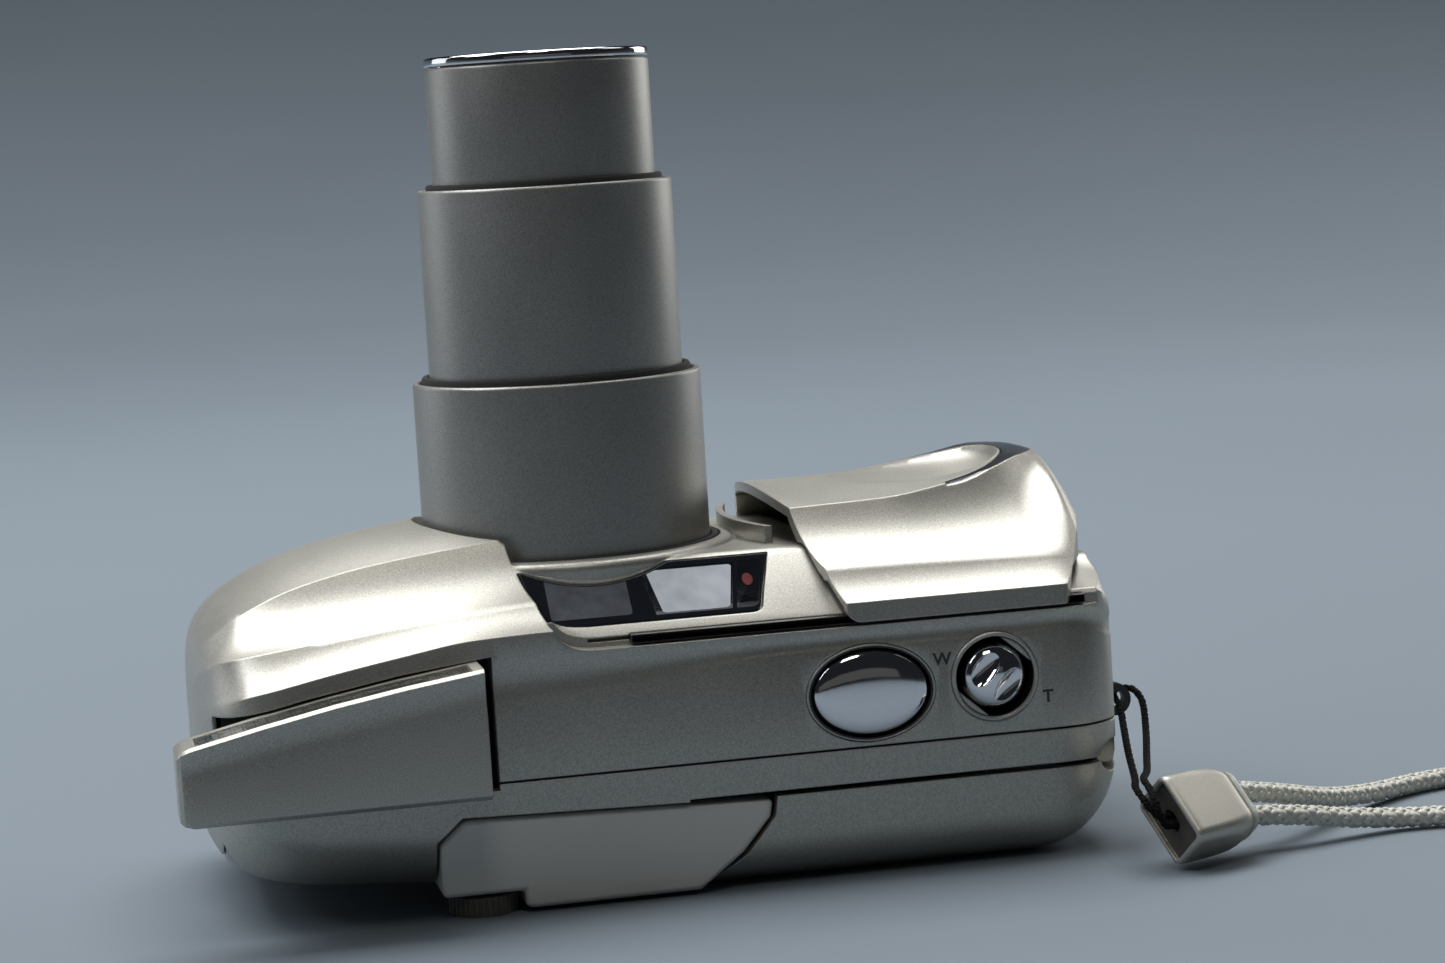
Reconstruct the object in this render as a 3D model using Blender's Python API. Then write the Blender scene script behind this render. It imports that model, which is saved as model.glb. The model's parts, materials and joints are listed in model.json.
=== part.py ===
"""Compact 35 mm film camera with a sliding lens cover, a three-stage zoom lens and a pop-up flash.

The camera lies on its back: +Z is the lens direction, -Y is the camera's top face and +X is the
shutter-release side. Sizes are in millimetres, measured from the lens axis on the resting surface,
and FRAME_SHIFT moves them so that the world origin is under the middle of the camera.
"""

import math

import bmesh
import bpy
from mathutils import Matrix, Vector

MM = 0.001
FRAME_SHIFT = Vector((-8.4, 4.3, 0.0))
GAP = 0.3

# ---------------------------------------------------------------- driving sizes
TOP = 31.0
BOTTOM_SHARE = 30.0 / 31.0
WALL = 2.0
SEAM_Z = 17.0
DOOR_Z = 12.15
LEDGE_Z = 32.7
LENS_PLATE_Z = 42.3
COVER_THICKNESS = 1.3
COVER_TRAVEL = 5.4
FLASH_LIFT = 7.5
HINGE_X, HINGE_Z = 65.8, 12.3
SHUTTER_X, SHUTTER_Z = 33.1, 24.0
LEVER_X, LEVER_Z = 49.6, 24.6
KNOB_TURN = 38.0
DIAL_X, DIAL_Y = -17.9, -26.1
EYEPIECE_LOW = -21.6
CARTRIDGE_X, CARTRIDGE_Z, CARTRIDGE_R = -35.4, 18.4, 12.6
SPOOL_X, SPOOL_Z, SPOOL_CHAMBER_R = 35.8, 15.0, 9.3
SPROCKET_X, SPROCKET_Z = 24.1, 12.3
BATTERY_X, BATTERY_Z, BATTERY_R = 55.8, 22.0, 8.4
TRIPOD_X, TRIPOD_Z = 12.0, 22.8
LUG_X, LUG_Z, LUG_Y = 69.9, 17.6, -17.0

# Each zoom barrel: outer radius, wall, bottom, top and how far its base collar stands out.
OUTER = {"r": 19.2, "wall": 1.3, "low": 34.3, "high": 65.5, "collar": 20.4, "key": 21.3}
MIDDLE = {"r": 16.9, "wall": 1.1, "low": 60.7, "high": 90.9, "collar": 17.55, "key": 18.25}
INNER = {"r": 14.82, "wall": 1.1, "low": 85.6, "high": 106.8, "collar": 15.45, "key": 16.1}

# The wrist strap's clasp lies on one edge beside the camera.
CLASP_LONG, CLASP_SHORT, CLASP_LENGTH = 10.3, 7.0, 12.3
CLASP_MIDDLE = (73.15, -42.0, 6.35)
CLASP_ROLL, CLASP_TURN = 46.5, 25.0
LOOP_CORD, STRAP_CORD = 0.95, 2.7

# Cord routes in metres from the world origin. The loop starts and ends in the clasp and goes through the lug.
LOOP_CORD_ROUTE = (
    (0.06236, -0.03825, 0.00689), (0.05855, -0.04002, 0.00689), (0.05717, -0.04038, 0.00768),
    (0.05625, -0.03886, 0.00932), (0.05621, -0.03642, 0.01030), (0.05740, -0.03270, 0.01070),
    (0.05900, -0.02570, 0.01210), (0.06080, -0.01870, 0.01430), (0.06165, -0.01490, 0.01690),
    (0.06170, -0.01270, 0.01765), (0.06240, -0.01060, 0.01830), (0.06430, -0.01060, 0.01850),
    (0.06500, -0.01230, 0.01800), (0.06520, -0.01400, 0.01660), (0.06420, -0.01770, 0.01360),
    (0.06180, -0.02470, 0.01180), (0.05940, -0.03170, 0.01130), (0.05724, -0.03674, 0.01134),
    (0.05707, -0.03922, 0.01064), (0.05711, -0.04142, 0.00925), (0.05762, -0.04206, 0.00710),
    (0.05899, -0.04096, 0.00581), (0.06279, -0.03918, 0.00581))
STRAP_CORD_ROUTE = (
    (0.06536, -0.03593, 0.00776), (0.06976, -0.03388, 0.00776), (0.07107, -0.03327, 0.00770),
    (0.07750, -0.02980, 0.00620), (0.08700, -0.02320, 0.00350), (0.09600, -0.01620, 0.00190),
    (0.10500, -0.01080, 0.00145), (0.11600, -0.00740, 0.00145), (0.13000, -0.00250, 0.00145),
    (0.14500, 0.00480, 0.00145), (0.15800, 0.00750, 0.00145), (0.16800, 0.00120, 0.00145),
    (0.17120, -0.01200, 0.00145), (0.16700, -0.02700, 0.00145), (0.15500, -0.03900, 0.00145),
    (0.13800, -0.04400, 0.00145), (0.12000, -0.04050, 0.00145), (0.10600, -0.03400, 0.00145),
    (0.09500, -0.03180, 0.00160), (0.08650, -0.03280, 0.00260), (0.07900, -0.03440, 0.00400),
    (0.07221, -0.03570, 0.00490), (0.07089, -0.03632, 0.00494), (0.06650, -0.03837, 0.00494))

# The camera's outer form as smooth curves over X: (x, value) points.
HALF_HEIGHT = ((-51.6, 7), (-51.4, 12), (-50.9, 17), (-50.2, 21.5), (-49.2, 25), (-47.6, 28), (-45.4, 30),
               (-42, TOP), (58, TOP), (62, 30.4), (65, 28.8), (66.8, 26.6), (67.5, 24.5))
BACK = ((-51.6, 14), (-51, 10.5), (-49, 7.4), (-45, 5.4), (-38, 4.0), (-30, 3.4), (-23, 2.8),
        (-17, 0.8), (-12, 0), (55, 0), (60, 0.9), (63.5, 3.2), (66, 6.2), (67.5, 9.5))
BACK_ROUND_Y = ((-51.6, 3), (-50, 12), (-45, 14), (-20, 13), (10, 9), (60, 8), (67.5, 6))
BACK_ROUND_Z = ((-51.6, 2), (-50, 7), (-45, 9), (-20, 9), (10, 7), (60, 7), (67.5, 5))
TOP_CREASE = ((-51.6, 21.5), (-36, 24), (-18, 26.8), (4, 28.3), (24, 29.7), (60, 29.6), (67.5, 27.5))
LIP = ((-51.6, 25.6), (-50, 26.7), (-39, 29.2), (-27, 31.2), (-17, 32.5), (-8, LEDGE_Z),
       (60, LEDGE_Z), (65, 32.0), (67.5, 30.5))
EDGE_BAND = ((-51.6, 1.2), (-45, 2.6), (60, 3.0), (67.5, 1.5))
LOW_CREST = ((-51.6, 28.6), (-51, 31.6), (-49.5, 33.6), (-45, 34.9), (-38, 35.8), (-28, 37.0), (-16, 38.1),
             (-8, 38.7), (30, 39.8), (60, 39.2), (62.5, 39.0), (64.5, 38.6), (66, 37.4), (67.5, 33.5))
HIGH_CREST_Y = ((-51.6, 4), (-51, 9), (-49, 14), (-45, 17), (40, 17), (47, 16), (55, 14.3), (60, 11.1),
                (63, 7.3), (64.5, 3.8), (65.2, 1.4), (67.5, 1.4))
HIGH_CREST = ((-51.6, 29.4), (-51, 33.4), (-49.5, 35.9), (-45, 39.2), (-38, 42.0), (-28, 44.1), (-16, 45.5),
              (-8, 46.2), (30, 47.0), (40, 47.3), (47, 48.1), (55, 49.6), (60, 50.8),
              (63, 50.9), (65.2, 50.1), (66, 47.9), (66.8, 44.5), (67.5, 38.5))
FRONT = ((-51.6, 29.8), (-51, 34.2), (-49.5, 37.0), (-45, 40.6), (-38, 44.1), (-28, 46.3), (-16, 48.0), (-8, 48.6),
         (10, 48.9), (30, 48.6), (47, 48.9), (55, 50.0), (60, 51.0), (63, 51.0), (65.2, 50.2), (66, 48.0),
         (66.8, 44.6), (67.5, 38.6))
UPPER_FLUTE = ((-51.6, 0.1), (-40, 0.9), (40, 0.9), (52, 1.2), (59, 1.0), (61.5, -0.3), (64.5, -2.3),
               (66.5, -2.3), (67.5, -1.4))
FLASH_BACK = 16.4
FLASH_CREASE = ((-55.4, 21.2), (-36, 24), (-17.3, 26.9))
FLASH_FRONT = ((-60, 24.6), (-55.4, 25.9), (-50, 27.1), (-39, 29.4), (-27, 31.4), (-17.3, 32.7))
CAVITY_TOP = ((-50, 27), (-48.5, 31), (-45, 35), (-38, 38), (-30, 39.8), (29, 39.8), (36, 38.4), (50, 38.4),
              (55.5, 35.7), (62, 35.3), (65.4, 31.5))
LENS_PLATE = ((-20, LENS_PLATE_Z), (30, LENS_PLATE_Z), (36, 40.3), (52, 40.3), (57, 37.5), (72, 37.5))
RECESS_LEDGE = ((-20, 44), (-8, 36.5), (-6.8, 34.6), (-5.2, 33.3), (-2.5, LEDGE_Z), (72, LEDGE_Z))

BODY_STATIONS = (-51.6, -51.3, -50.5, -49.2, -47, -43.5, -37, -27, -18, -8, 8, 24, 38, 46, 52, 57, 60.5, 63,
                 64.5, 65.5, 66.2, 66.9, 67.5)
CAVITY_STATIONS = (-49.8, -48, -44.5, -38, -28, -8, 29, 36, 50, 55.5, 60, 62.8, 65.4)
RECESS_STATIONS = (-20, -8, -6.8, -6, -5.2, -2.5, 30, 35.3, 36, 41.3, 52, 57, 62.3, 72)


# ---------------------------------------------------------------- curves and outlines
def smooth(table, x):
    """Value at x on a smooth curve through the table's points, with no overshoot between them."""
    xs = [point[0] for point in table]
    ys = [point[1] for point in table]
    if x <= xs[0]:
        return ys[0]
    if x >= xs[-1]:
        return ys[-1]
    rises = [(ys[i + 1] - ys[i]) / (xs[i + 1] - xs[i]) for i in range(len(xs) - 1)]
    slopes = [rises[0]]
    for before, after in zip(rises, rises[1:]):
        slopes.append(2 * before * after / (before + after) if before * after > 0 else 0.0)
    slopes.append(rises[-1])
    i = max(k for k in range(len(xs) - 1) if xs[k] <= x)
    span = xs[i + 1] - xs[i]
    t = (x - xs[i]) / span
    return ((2 * t**3 - 3 * t**2 + 1) * ys[i] + (t**3 - 2 * t**2 + t) * span * slopes[i]
            + (3 * t**2 - 2 * t**3) * ys[i + 1] + (t**3 - t**2) * span * slopes[i + 1])


def flute(start, end, depth, steps):
    """Points after start, up to end, on a shallow hollow whose middle lies depth inside the line."""
    (h0, z0), (h1, z1) = start, end
    length = math.hypot(h1 - h0, z1 - z0)
    inward = (-(z1 - z0) / length, (h1 - h0) / length)
    points = []
    for i in range(1, steps + 1):
        t = i / steps
        sag = depth * 4 * t * (1 - t)
        points.append((h0 + (h1 - h0) * t + inward[0] * sag, z0 + (z1 - z0) * t + inward[1] * sag))
    return points


def back_half(x, inset=0.0, steps=4):
    """Half outline in (height, z) from the middle of the back round to the top face."""
    height = smooth(HALF_HEIGHT, x) - inset
    back = smooth(BACK, x) + inset
    round_y = smooth(BACK_ROUND_Y, x) - inset / 2
    round_z = smooth(BACK_ROUND_Z, x) - inset / 2
    points = [(0.0, back)]
    for i in range(steps + 1):
        angle = math.pi / 2 * i / steps
        points.append((height - round_y * (1 - math.sin(angle)), back + round_z * (1 - math.cos(angle))))
    return points


def front_half(x, steps=4):
    """Half outline in (height, z) from the lip at the top face up to the middle of the front."""
    height = smooth(HALF_HEIGHT, x)
    lip = (height, smooth(LIP, x))
    band = (height - 0.35, lip[1] + smooth(EDGE_BAND, x))
    low = (height * 26 / 31, smooth(LOW_CREST, x))
    high = (smooth(HIGH_CREST_Y, x), smooth(HIGH_CREST, x))
    front = smooth(FRONT, x)
    points = [lip, band] + flute(band, low, 0.3, 2) + flute(low, high, smooth(UPPER_FLUTE, x), steps)
    crown = [(high[0] * 0.55, front - (front - high[1]) * 0.3), (0.0, front)]
    return points + crown


def body_half(x):
    """Half outline of the whole camera, from the middle of the back to the middle of the front."""
    height = smooth(HALF_HEIGHT, x)
    crease = (height, smooth(TOP_CREASE, x))
    lip = (height, smooth(LIP, x))
    return back_half(x) + [crease] + flute(crease, lip, 0.45, 2)[:-1] + front_half(x)


def cavity_half(x):
    """Half outline of the hollow inside the casing."""
    height = smooth(HALF_HEIGHT, x) - WALL
    top = smooth(CAVITY_TOP, x)
    shoulder = min(32.4, top - 0.6)
    slope = min(38.5, top - 0.3)
    return back_half(x, inset=WALL - 0.2, steps=3) + [
        (height, min(29.5, shoulder - 0.5)), (height - 3.6, shoulder), (height - 8.6, slope), (0.0, top)]


def recess_half(x, travel=0.0):
    """Half outline under the sliding cover: ledge, sloped band and lens plate, clear over the travel."""
    ledge = smooth(RECESS_LEDGE, x)
    plate = max(smooth(LENS_PLATE, x), smooth(LENS_PLATE, x - travel), ledge + 1.2)
    foot = min(ledge + 1.9, plate - 0.8)
    corner = 20.8 - 0.8 * (LENS_PLATE_Z - min(plate, LENS_PLATE_Z))
    return [(29.0, ledge), (28.4, foot), (corner, plate - 0.4), (corner - 1.2, plate), (0.0, plate)]


def mirrored_ring(x, half):
    """Closed ring at x from a half outline: the top side at -Y, then the bottom side at +Y."""
    top = [(x, -h, z) for h, z in half]
    bottom = [(x, h * BOTTOM_SHARE, z) for h, z in reversed(half) if h > 1e-6]
    return top + bottom


def hump_edge(y, shift=0.0):
    """X of the fixed front hump's curved right-hand edge."""
    return -12.6 + 5.4 * (y / TOP) ** 2 + shift


def cover_left(y):
    return 25.2 + 5.6 * (y / TOP) ** 2


def cover_right(y):
    return 67.9 - 6.4 * abs(y / TOP) ** 2.4


# ---------------------------------------------------------------- mesh builders
def loft(rings):
    """Closed solid through rings that have the same number of points."""
    bm = bmesh.new()
    rows = [[bm.verts.new(point) for point in ring] for ring in rings]
    for a, b in zip(rows, rows[1:]):
        for i in range(len(a)):
            j = (i + 1) % len(a)
            bm.faces.new((a[i], a[j], b[j], b[i]))
    bmesh.ops.triangulate(bm, faces=bm.faces, quad_method="SHORT_EDGE")
    bm.faces.new(rows[0][::-1])
    bm.faces.new(rows[-1])
    bmesh.ops.recalc_face_normals(bm, faces=bm.faces)
    return bm


def place(axis, u, v, w):
    """Point from two coordinates across an axis and one along it."""
    return {"X": (w, u, v), "Y": (u, w, v), "Z": (u, v, w)}[axis]


def prism(outline, low, high, axis="Z"):
    """Outline in the two other axes, extruded along the axis from low to high."""
    bm = bmesh.new()
    face = bm.faces.new([bm.verts.new(place(axis, u, v, low)) for u, v in outline])
    moved = bmesh.ops.extrude_face_region(bm, geom=[face])["geom"]
    bmesh.ops.translate(bm, verts=[g for g in moved if isinstance(g, bmesh.types.BMVert)],
                        vec=place(axis, 0, 0, high - low))
    bmesh.ops.recalc_face_normals(bm, faces=bm.faces)
    return bm


def box(x0, x1, y0, y1, z0, z1):
    return prism([(x0, y0), (x1, y0), (x1, y1), (x0, y1)], z0, z1)


def oval(cx, cy, rx, ry, count):
    return [(cx + rx * math.cos(2 * math.pi * i / count), cy + ry * math.sin(2 * math.pi * i / count))
            for i in range(count)]


def rounded(x0, x1, y0, y1, radius, steps=3):
    """Rectangle outline with rounded corners."""
    points = []
    for cx, cy, start in ((x1 - radius, y1 - radius, 0), (x0 + radius, y1 - radius, 90),
                          (x0 + radius, y0 + radius, 180), (x1 - radius, y0 + radius, 270)):
        for i in range(steps + 1):
            angle = math.radians(start + 90 * i / steps)
            points.append((cx + radius * math.cos(angle), cy + radius * math.sin(angle)))
    return points


def turned(profile, count, centre=(0.0, 0.0), axis="Z", stretch=1.0):
    """Solid of revolution: profile is a closed loop of (radius, position along the axis)."""
    bm = bmesh.new()
    ring = [bm.verts.new((r, 0.0, along)) for r, along in profile]
    edges = [bm.edges.new((a, b)) for a, b in zip(ring, ring[1:] + ring[:1])]
    bmesh.ops.spin(bm, geom=ring + edges, cent=(0, 0, 0), axis=(0, 0, 1), angle=2 * math.pi,
                   steps=count, use_merge=True, use_duplicate=False)
    bmesh.ops.remove_doubles(bm, verts=bm.verts, dist=1e-4)
    bmesh.ops.dissolve_degenerate(bm, dist=1e-5, edges=bm.edges)
    for face in [f for f in bm.faces if all(abs(v.co.x) + abs(v.co.y) < 1e-6 for v in f.verts)]:
        bm.faces.remove(face)
    for vert in bm.verts:
        vert.co = Vector(place(axis, vert.co.x + centre[0], vert.co.y * stretch + centre[1], vert.co.z))
    bmesh.ops.recalc_face_normals(bm, faces=bm.faces)
    if bm.calc_volume(signed=True) < 0:
        bmesh.ops.reverse_faces(bm, faces=bm.faces)
    return bm


def tube(outer, inner, low, high, count, centre=(0.0, 0.0), axis="Z"):
    return turned([(inner, low), (outer, low), (outer, high), (inner, high)], count, centre, axis)


def rod(radius, low, high, count, centre, axis):
    return prism(oval(centre[0], centre[1], radius, radius, count), low, high, axis)


# ---------------------------------------------------------------- objects
def clear_scene():
    for obj in list(bpy.data.objects):
        bpy.data.objects.remove(obj, do_unlink=True)


def material(name, colour, roughness, metallic, alpha=1.0):
    made = bpy.data.materials.new(name)
    made.use_nodes = True
    shader = made.node_tree.nodes["Principled BSDF"]
    shader.inputs["Base Color"].default_value = (*colour, 1.0)
    shader.inputs["Roughness"].default_value = roughness
    shader.inputs["Metallic"].default_value = metallic
    shader.inputs["Alpha"].default_value = alpha
    return made


def add_object(name, bm, pivot, parent):
    """Object whose origin is the pivot, from a mesh in millimetres from the lens axis."""
    bmesh.ops.translate(bm, verts=bm.verts, vec=-Vector(pivot))
    bmesh.ops.scale(bm, verts=bm.verts, vec=(MM, MM, MM))
    mesh = bpy.data.meshes.new(name)
    bm.to_mesh(mesh)
    bm.free()
    obj = bpy.data.objects.new(name, mesh)
    bpy.context.scene.collection.objects.link(obj)
    obj.location = Vector(pivot) * MM
    obj.parent = parent
    return obj


class Bench:
    """Makes the nodes and their hidden cutters, all under one empty on the lens axis."""

    def __init__(self):
        self.origin = bpy.data.objects.new("camera_frame", None)
        self.origin.location = FRAME_SHIFT * MM
        bpy.context.scene.collection.objects.link(self.origin)
        self.materials = {}

    def part(self, name, bm, finish, pivot=(0, 0, 0), edge=0.0, smooth_angle=35.0):
        obj = add_object(name, bm, pivot, self.origin)
        obj.data.materials.append(self.materials[finish])
        if edge:
            bevel = obj.modifiers.new("edges", "BEVEL")
            bevel.width = edge * MM
            bevel.segments = 1
            bevel.limit_method = "ANGLE"
            bevel.angle_limit = math.radians(40)
        obj.data.shade_smooth()
        obj.data.set_sharp_from_angle(angle=math.radians(smooth_angle))
        return obj

    def tool(self, obj, label, bm, operation="DIFFERENCE"):
        """Boolean of obj with a hidden helper made from bm."""
        helper = add_object(f"{obj.name}_{label}", bm, (0, 0, 0), self.origin)
        self.apply(obj, label, helper, operation)
        return helper

    def apply(self, obj, label, helper, operation="DIFFERENCE"):
        helper.hide_render = True
        helper.display_type = "WIRE"
        boolean = obj.modifiers.new(label, "BOOLEAN")
        boolean.object = helper
        boolean.operation = operation
        boolean.solver = "EXACT"

    def cut(self, obj, label, bm):
        return self.tool(obj, label, bm, "DIFFERENCE")

    def join(self, obj, label, bm):
        return self.tool(obj, label, bm, "UNION")

    def keep(self, obj, label, bm):
        return self.tool(obj, label, bm, "INTERSECT")


def make_materials(bench):
    for name, colour, roughness, metallic, alpha in (
        ("silver_plastic", (0.62, 0.61, 0.56), 0.38, 0.65, 1.0),
        ("barrel_silver", (0.45, 0.44, 0.41), 0.42, 0.7, 1.0),
        ("grey_plastic", (0.42, 0.42, 0.40), 0.55, 0.2, 1.0),
        ("dark_grey", (0.16, 0.155, 0.14), 0.6, 0.0, 1.0),
        ("black_plastic", (0.02, 0.02, 0.022), 0.5, 0.0, 1.0),
        ("black_rubber", (0.015, 0.015, 0.016), 0.8, 0.0, 1.0),
        ("chrome", (0.85, 0.85, 0.87), 0.06, 1.0, 1.0),
        ("steel", (0.55, 0.55, 0.55), 0.35, 1.0, 1.0),
        ("dark_window", (0.02, 0.025, 0.035), 0.08, 0.0, 1.0),
        ("clear", (0.8, 0.85, 0.9), 0.03, 0.0, 0.35),
        ("circuit_green", (0.05, 0.22, 0.12), 0.5, 0.0, 1.0),
        ("brass", (0.75, 0.58, 0.3), 0.35, 1.0, 1.0),
        ("battery_sleeve", (0.1, 0.12, 0.3), 0.35, 0.3, 1.0),
        ("black_cord", (0.01, 0.01, 0.012), 0.85, 0.0, 1.0),
        ("silver_cord", (0.6, 0.61, 0.55), 0.5, 0.3, 1.0),
    ):
        bench.materials[name] = material(name, colour, roughness, metallic, alpha)


# ---------------------------------------------------------------- shared forms
def body_form():
    return loft([mirrored_ring(x, body_half(x)) for x in BODY_STATIONS])


def cavity_form(clearance=0.0):
    """Hollow inside the casing, drawn in on every side by the clearance."""
    bm = loft([mirrored_ring(x, cavity_half(x)) for x in CAVITY_STATIONS])
    middle = Vector((7.8, 0, 20))
    reach = Vector((57.6, 29, 19))
    for vert in bm.verts:
        away = vert.co - middle
        vert.co = middle + Vector([a * (1 - clearance / r) for a, r in zip(away, reach)])
    return bm


def recess_form(lift=0.0, travel=0.0):
    """Everything above the recessed front, right of the hump: cut from the body form."""
    rings = []
    for x in RECESS_STATIONS:
        half = [(h + lift if h else h, z + lift) for h, z in recess_half(x, travel)]
        ring = mirrored_ring(x, [(35.0, half[0][1])] + half)
        rings.append(ring + [(x, 35.0, 60.0), (x, -35.0, 60.0)])
    return loft(rings)


def hump_plan(shift=0.0, left=-60.0):
    """Plan outline of everything left of the hump's curved edge."""
    ys = [-36 + 72 * i / 16 for i in range(17)]
    return [(left, -36)] + [(hump_edge(y, shift), y) for y in ys] + [(left, 36)]


def door_outline(grow):
    """Plan of the film door, which reaches round the eyepiece housing."""
    return [(-49.3 - grow, -20.9 - grow), (9 - grow, -20.9 - grow), (9 - grow, -40), (80, -40),
            (80, 40), (-49.3 - grow, 40)]


def eyepiece_outline():
    """Eyepiece housing seen from the camera's top face, with a notch for the dial at its left."""
    return [(-23.4, 2.9), (-23.4, 9.8), (-20.2, 12.6), (19.6, 11.4), (19.2, 9.2), (15.4, 4.9),
            (9.6, 0.6), (-13.0, 0.6), (-13.0, 2.9)]


def eyepiece_gap(grow):
    """Outline that clears the eyepiece housing and opens to the back."""
    return [(-23.4 - grow, -3), (-23.4 - grow, 9.8 + grow / 2), (-20.2 - grow / 2, 12.6 + grow),
            (19.6 + grow, 11.4 + grow), (19.2 + grow, 9.2), (15.4 + grow, 4.9 - grow / 2),
            (9.6 + grow, 0.6 - grow), (7.4 + grow, -3)]


def flash_well_outline():
    """Opening for the flash head, seen from the camera's top face."""
    edge = [(x, smooth(FLASH_FRONT, x) + 0.35) for x in (-27, -39, -50, -60)]
    return [(-60, FLASH_BACK - 0.35), (-15.4, FLASH_BACK - 0.35), (-15.4, FLASH_FRONT[-1][1] + 0.35)] + edge


def flash_form():
    """Flash head, flush with the top face, with the creased face and a rounded left end."""
    rings = []
    for x, round_off in ((-55.4, 1.3), (-54.9, 0.5), (-53.8, 0), (-45, 0), (-36, 0), (-27, 0), (-17.3, 0)):
        height = TOP - round_off
        back, front = FLASH_BACK + round_off / 2, smooth(FLASH_FRONT, x) - round_off / 2
        crease = (height, smooth(FLASH_CREASE, x))
        face = [(22.7, back), (height - 0.6, back), (height, back + 0.6), crease]
        face += flute(crease, (height - 0.2, front - 0.4), 0.4, 3) + [(height - 0.8, front), (22.7, front)]
        rings.append([(x, -h, z) for h, z in face])
    return loft(rings)


# ---------------------------------------------------------------- casing
def make_casing(bench):
    front = bench.part("front_shell", body_form(), "silver_plastic")
    recess = add_object("recess_cutter", recess_form(), (0, 0, 0), bench.origin)
    bench.tool(recess, "hump_side", prism(hump_plan(), 20, 70))
    bench.apply(front, "recess", recess)
    bench.join(front, "lens_lip", turned(
        [(19.0, 39.9), (22.2, 39.9), (22.6, 41.9), (22.2, 42.7), (21.2, 43.0), (19.0, 43.0)], 36))
    bench.join(front, "cover_stop_rib", prism(
        [(22.9, -15), (24.1, -15), (22.9, -7), (22.5, 0), (22.9, 7), (24.1, 15), (22.9, 15), (21.9, 7),
         (21.5, 0), (21.9, -7)][::-1], 41, 44.6))
    bench.cut(front, "hollow", cavity_form())
    bench.cut(front, "seam", box(-70, 90, -50, 50, -5, SEAM_Z + 0.15))
    bench.cut(front, "lens_hole", rod(20.6, 30, 60, 36, (0, 0), "Z"))
    for side in (-1, 1):
        share = 1.0 if side < 0 else BOTTOM_SHARE
        bench.cut(front, f"rail_slot_{'top' if side < 0 else 'bottom'}", box(
            -2.8, 62.5, *sorted((side * 27.3 * share, side * 33)), 33.0, 34.1))
    bench.cut(front, "shutter_hole", prism(oval(SHUTTER_X, SHUTTER_Z, 8.6, 6.4, 26), -36, -27, "Y"))
    bench.cut(front, "lever_hole", rod(5.85, -36, -27, 24, (LEVER_X, LEVER_Z), "Y"))
    well = bench.cut(front, "flash_well", prism(flash_well_outline(), -45, -22.2, "Y"))
    pocket = add_object("window_pocket", window_form(0.25, -1.4), (0, 0, 0), bench.origin)
    bench.tool(pocket, "hump_side", prism(hump_plan(0.1), 20, 70))
    bench.tool(pocket, "lens_lip", rod(22.65, 30, 60, 40, (0, 0), "Z"))
    bench.apply(front, "window_pocket", pocket)
    battery_bay = bench.cut(front, "battery_opening", box(46.0, 64.9, 27.0, 40, 12.95, 31.35))
    bench.cut(front, "tripod_hole", rod(5.0, 25, 40, 20, (TRIPOD_X, TRIPOD_Z), "Y"))
    bench.cut(front, "lug_slot", box(63, 70, LUG_Y - 1.1, LUG_Y + 1.1, 17.6, 20.0))

    rear = bench.part("rear_shell", body_form(), "silver_plastic")
    bench.cut(rear, "seam", box(-70, 90, -50, 50, SEAM_Z - 0.15, 70))
    bench.cut(rear, "hollow", cavity_form())
    bench.cut(rear, "door_opening", prism(door_outline(0.3), -5, DOOR_Z + 0.35))
    bench.cut(rear, "eyepiece_opening", prism(eyepiece_gap(0.4), -45, EYEPIECE_LOW + 0.3, "Y"))
    bench.cut(rear, "hinge_groove", prism(
        [(HINGE_X + 2.1 * math.cos(math.radians(a)), HINGE_Z + 2.1 * math.sin(math.radians(a)))
         for a in range(90, 271, 20)] + [(HINGE_X, 9), (72, 9), (72, HINGE_Z + 2.1)], -40, 40, "Y"))
    for side in (-1, 1):
        bench.join(rear, f"hinge_ear_{'top' if side < 0 else 'bottom'}", prism(
            [(64.2, 16.5), (64.2, 12.3), (64.6, 11.2), (65.8, 10.7), (66.8, 11.2), (67.1, 12.3), (67.1, 16.5)],
            *sorted((side * 22.4, side * 25.2)), "Y"))
    bench.cut(rear, "pin_hole", rod(0.95, -24.4, 24.4, 12, (HINGE_X, HINGE_Z), "Y"))
    bench.apply(rear, "flash_well", well)
    bench.apply(rear, "battery_opening", battery_bay)
    bench.cut(rear, "latch_pocket", box(-56, -50.9, 0.4, 11.6, 13.1, 16.25))
    bench.cut(rear, "latch_slot", box(-56, -47, 1.6, 8.4, 14.1, 15.2))
    return front, rear


def window_form(grow, depth):
    """Front window on the sloped band: a plate that follows the lens lip and the hump's edge."""
    slope = math.atan2(7.3, 7.6)
    low, high, corner = -4.0 - grow, 5.2 + grow, 1.6
    outline = [(-14, low), (20.3 + grow - corner, low), (20.3 + grow - 0.4, low + 0.5),
               (20.4 + grow, low + corner), (22.6 + grow, high), (-14, high)]
    bm = prism(outline, depth, 0.15 if grow == 0 else 3.0)
    turn = Matrix.Rotation(slope, 4, "X")
    move = Matrix.Translation((0, -24.6, 38.25 - 0.15))
    bmesh.ops.transform(bm, matrix=move @ turn, verts=bm.verts)
    return bm


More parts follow.
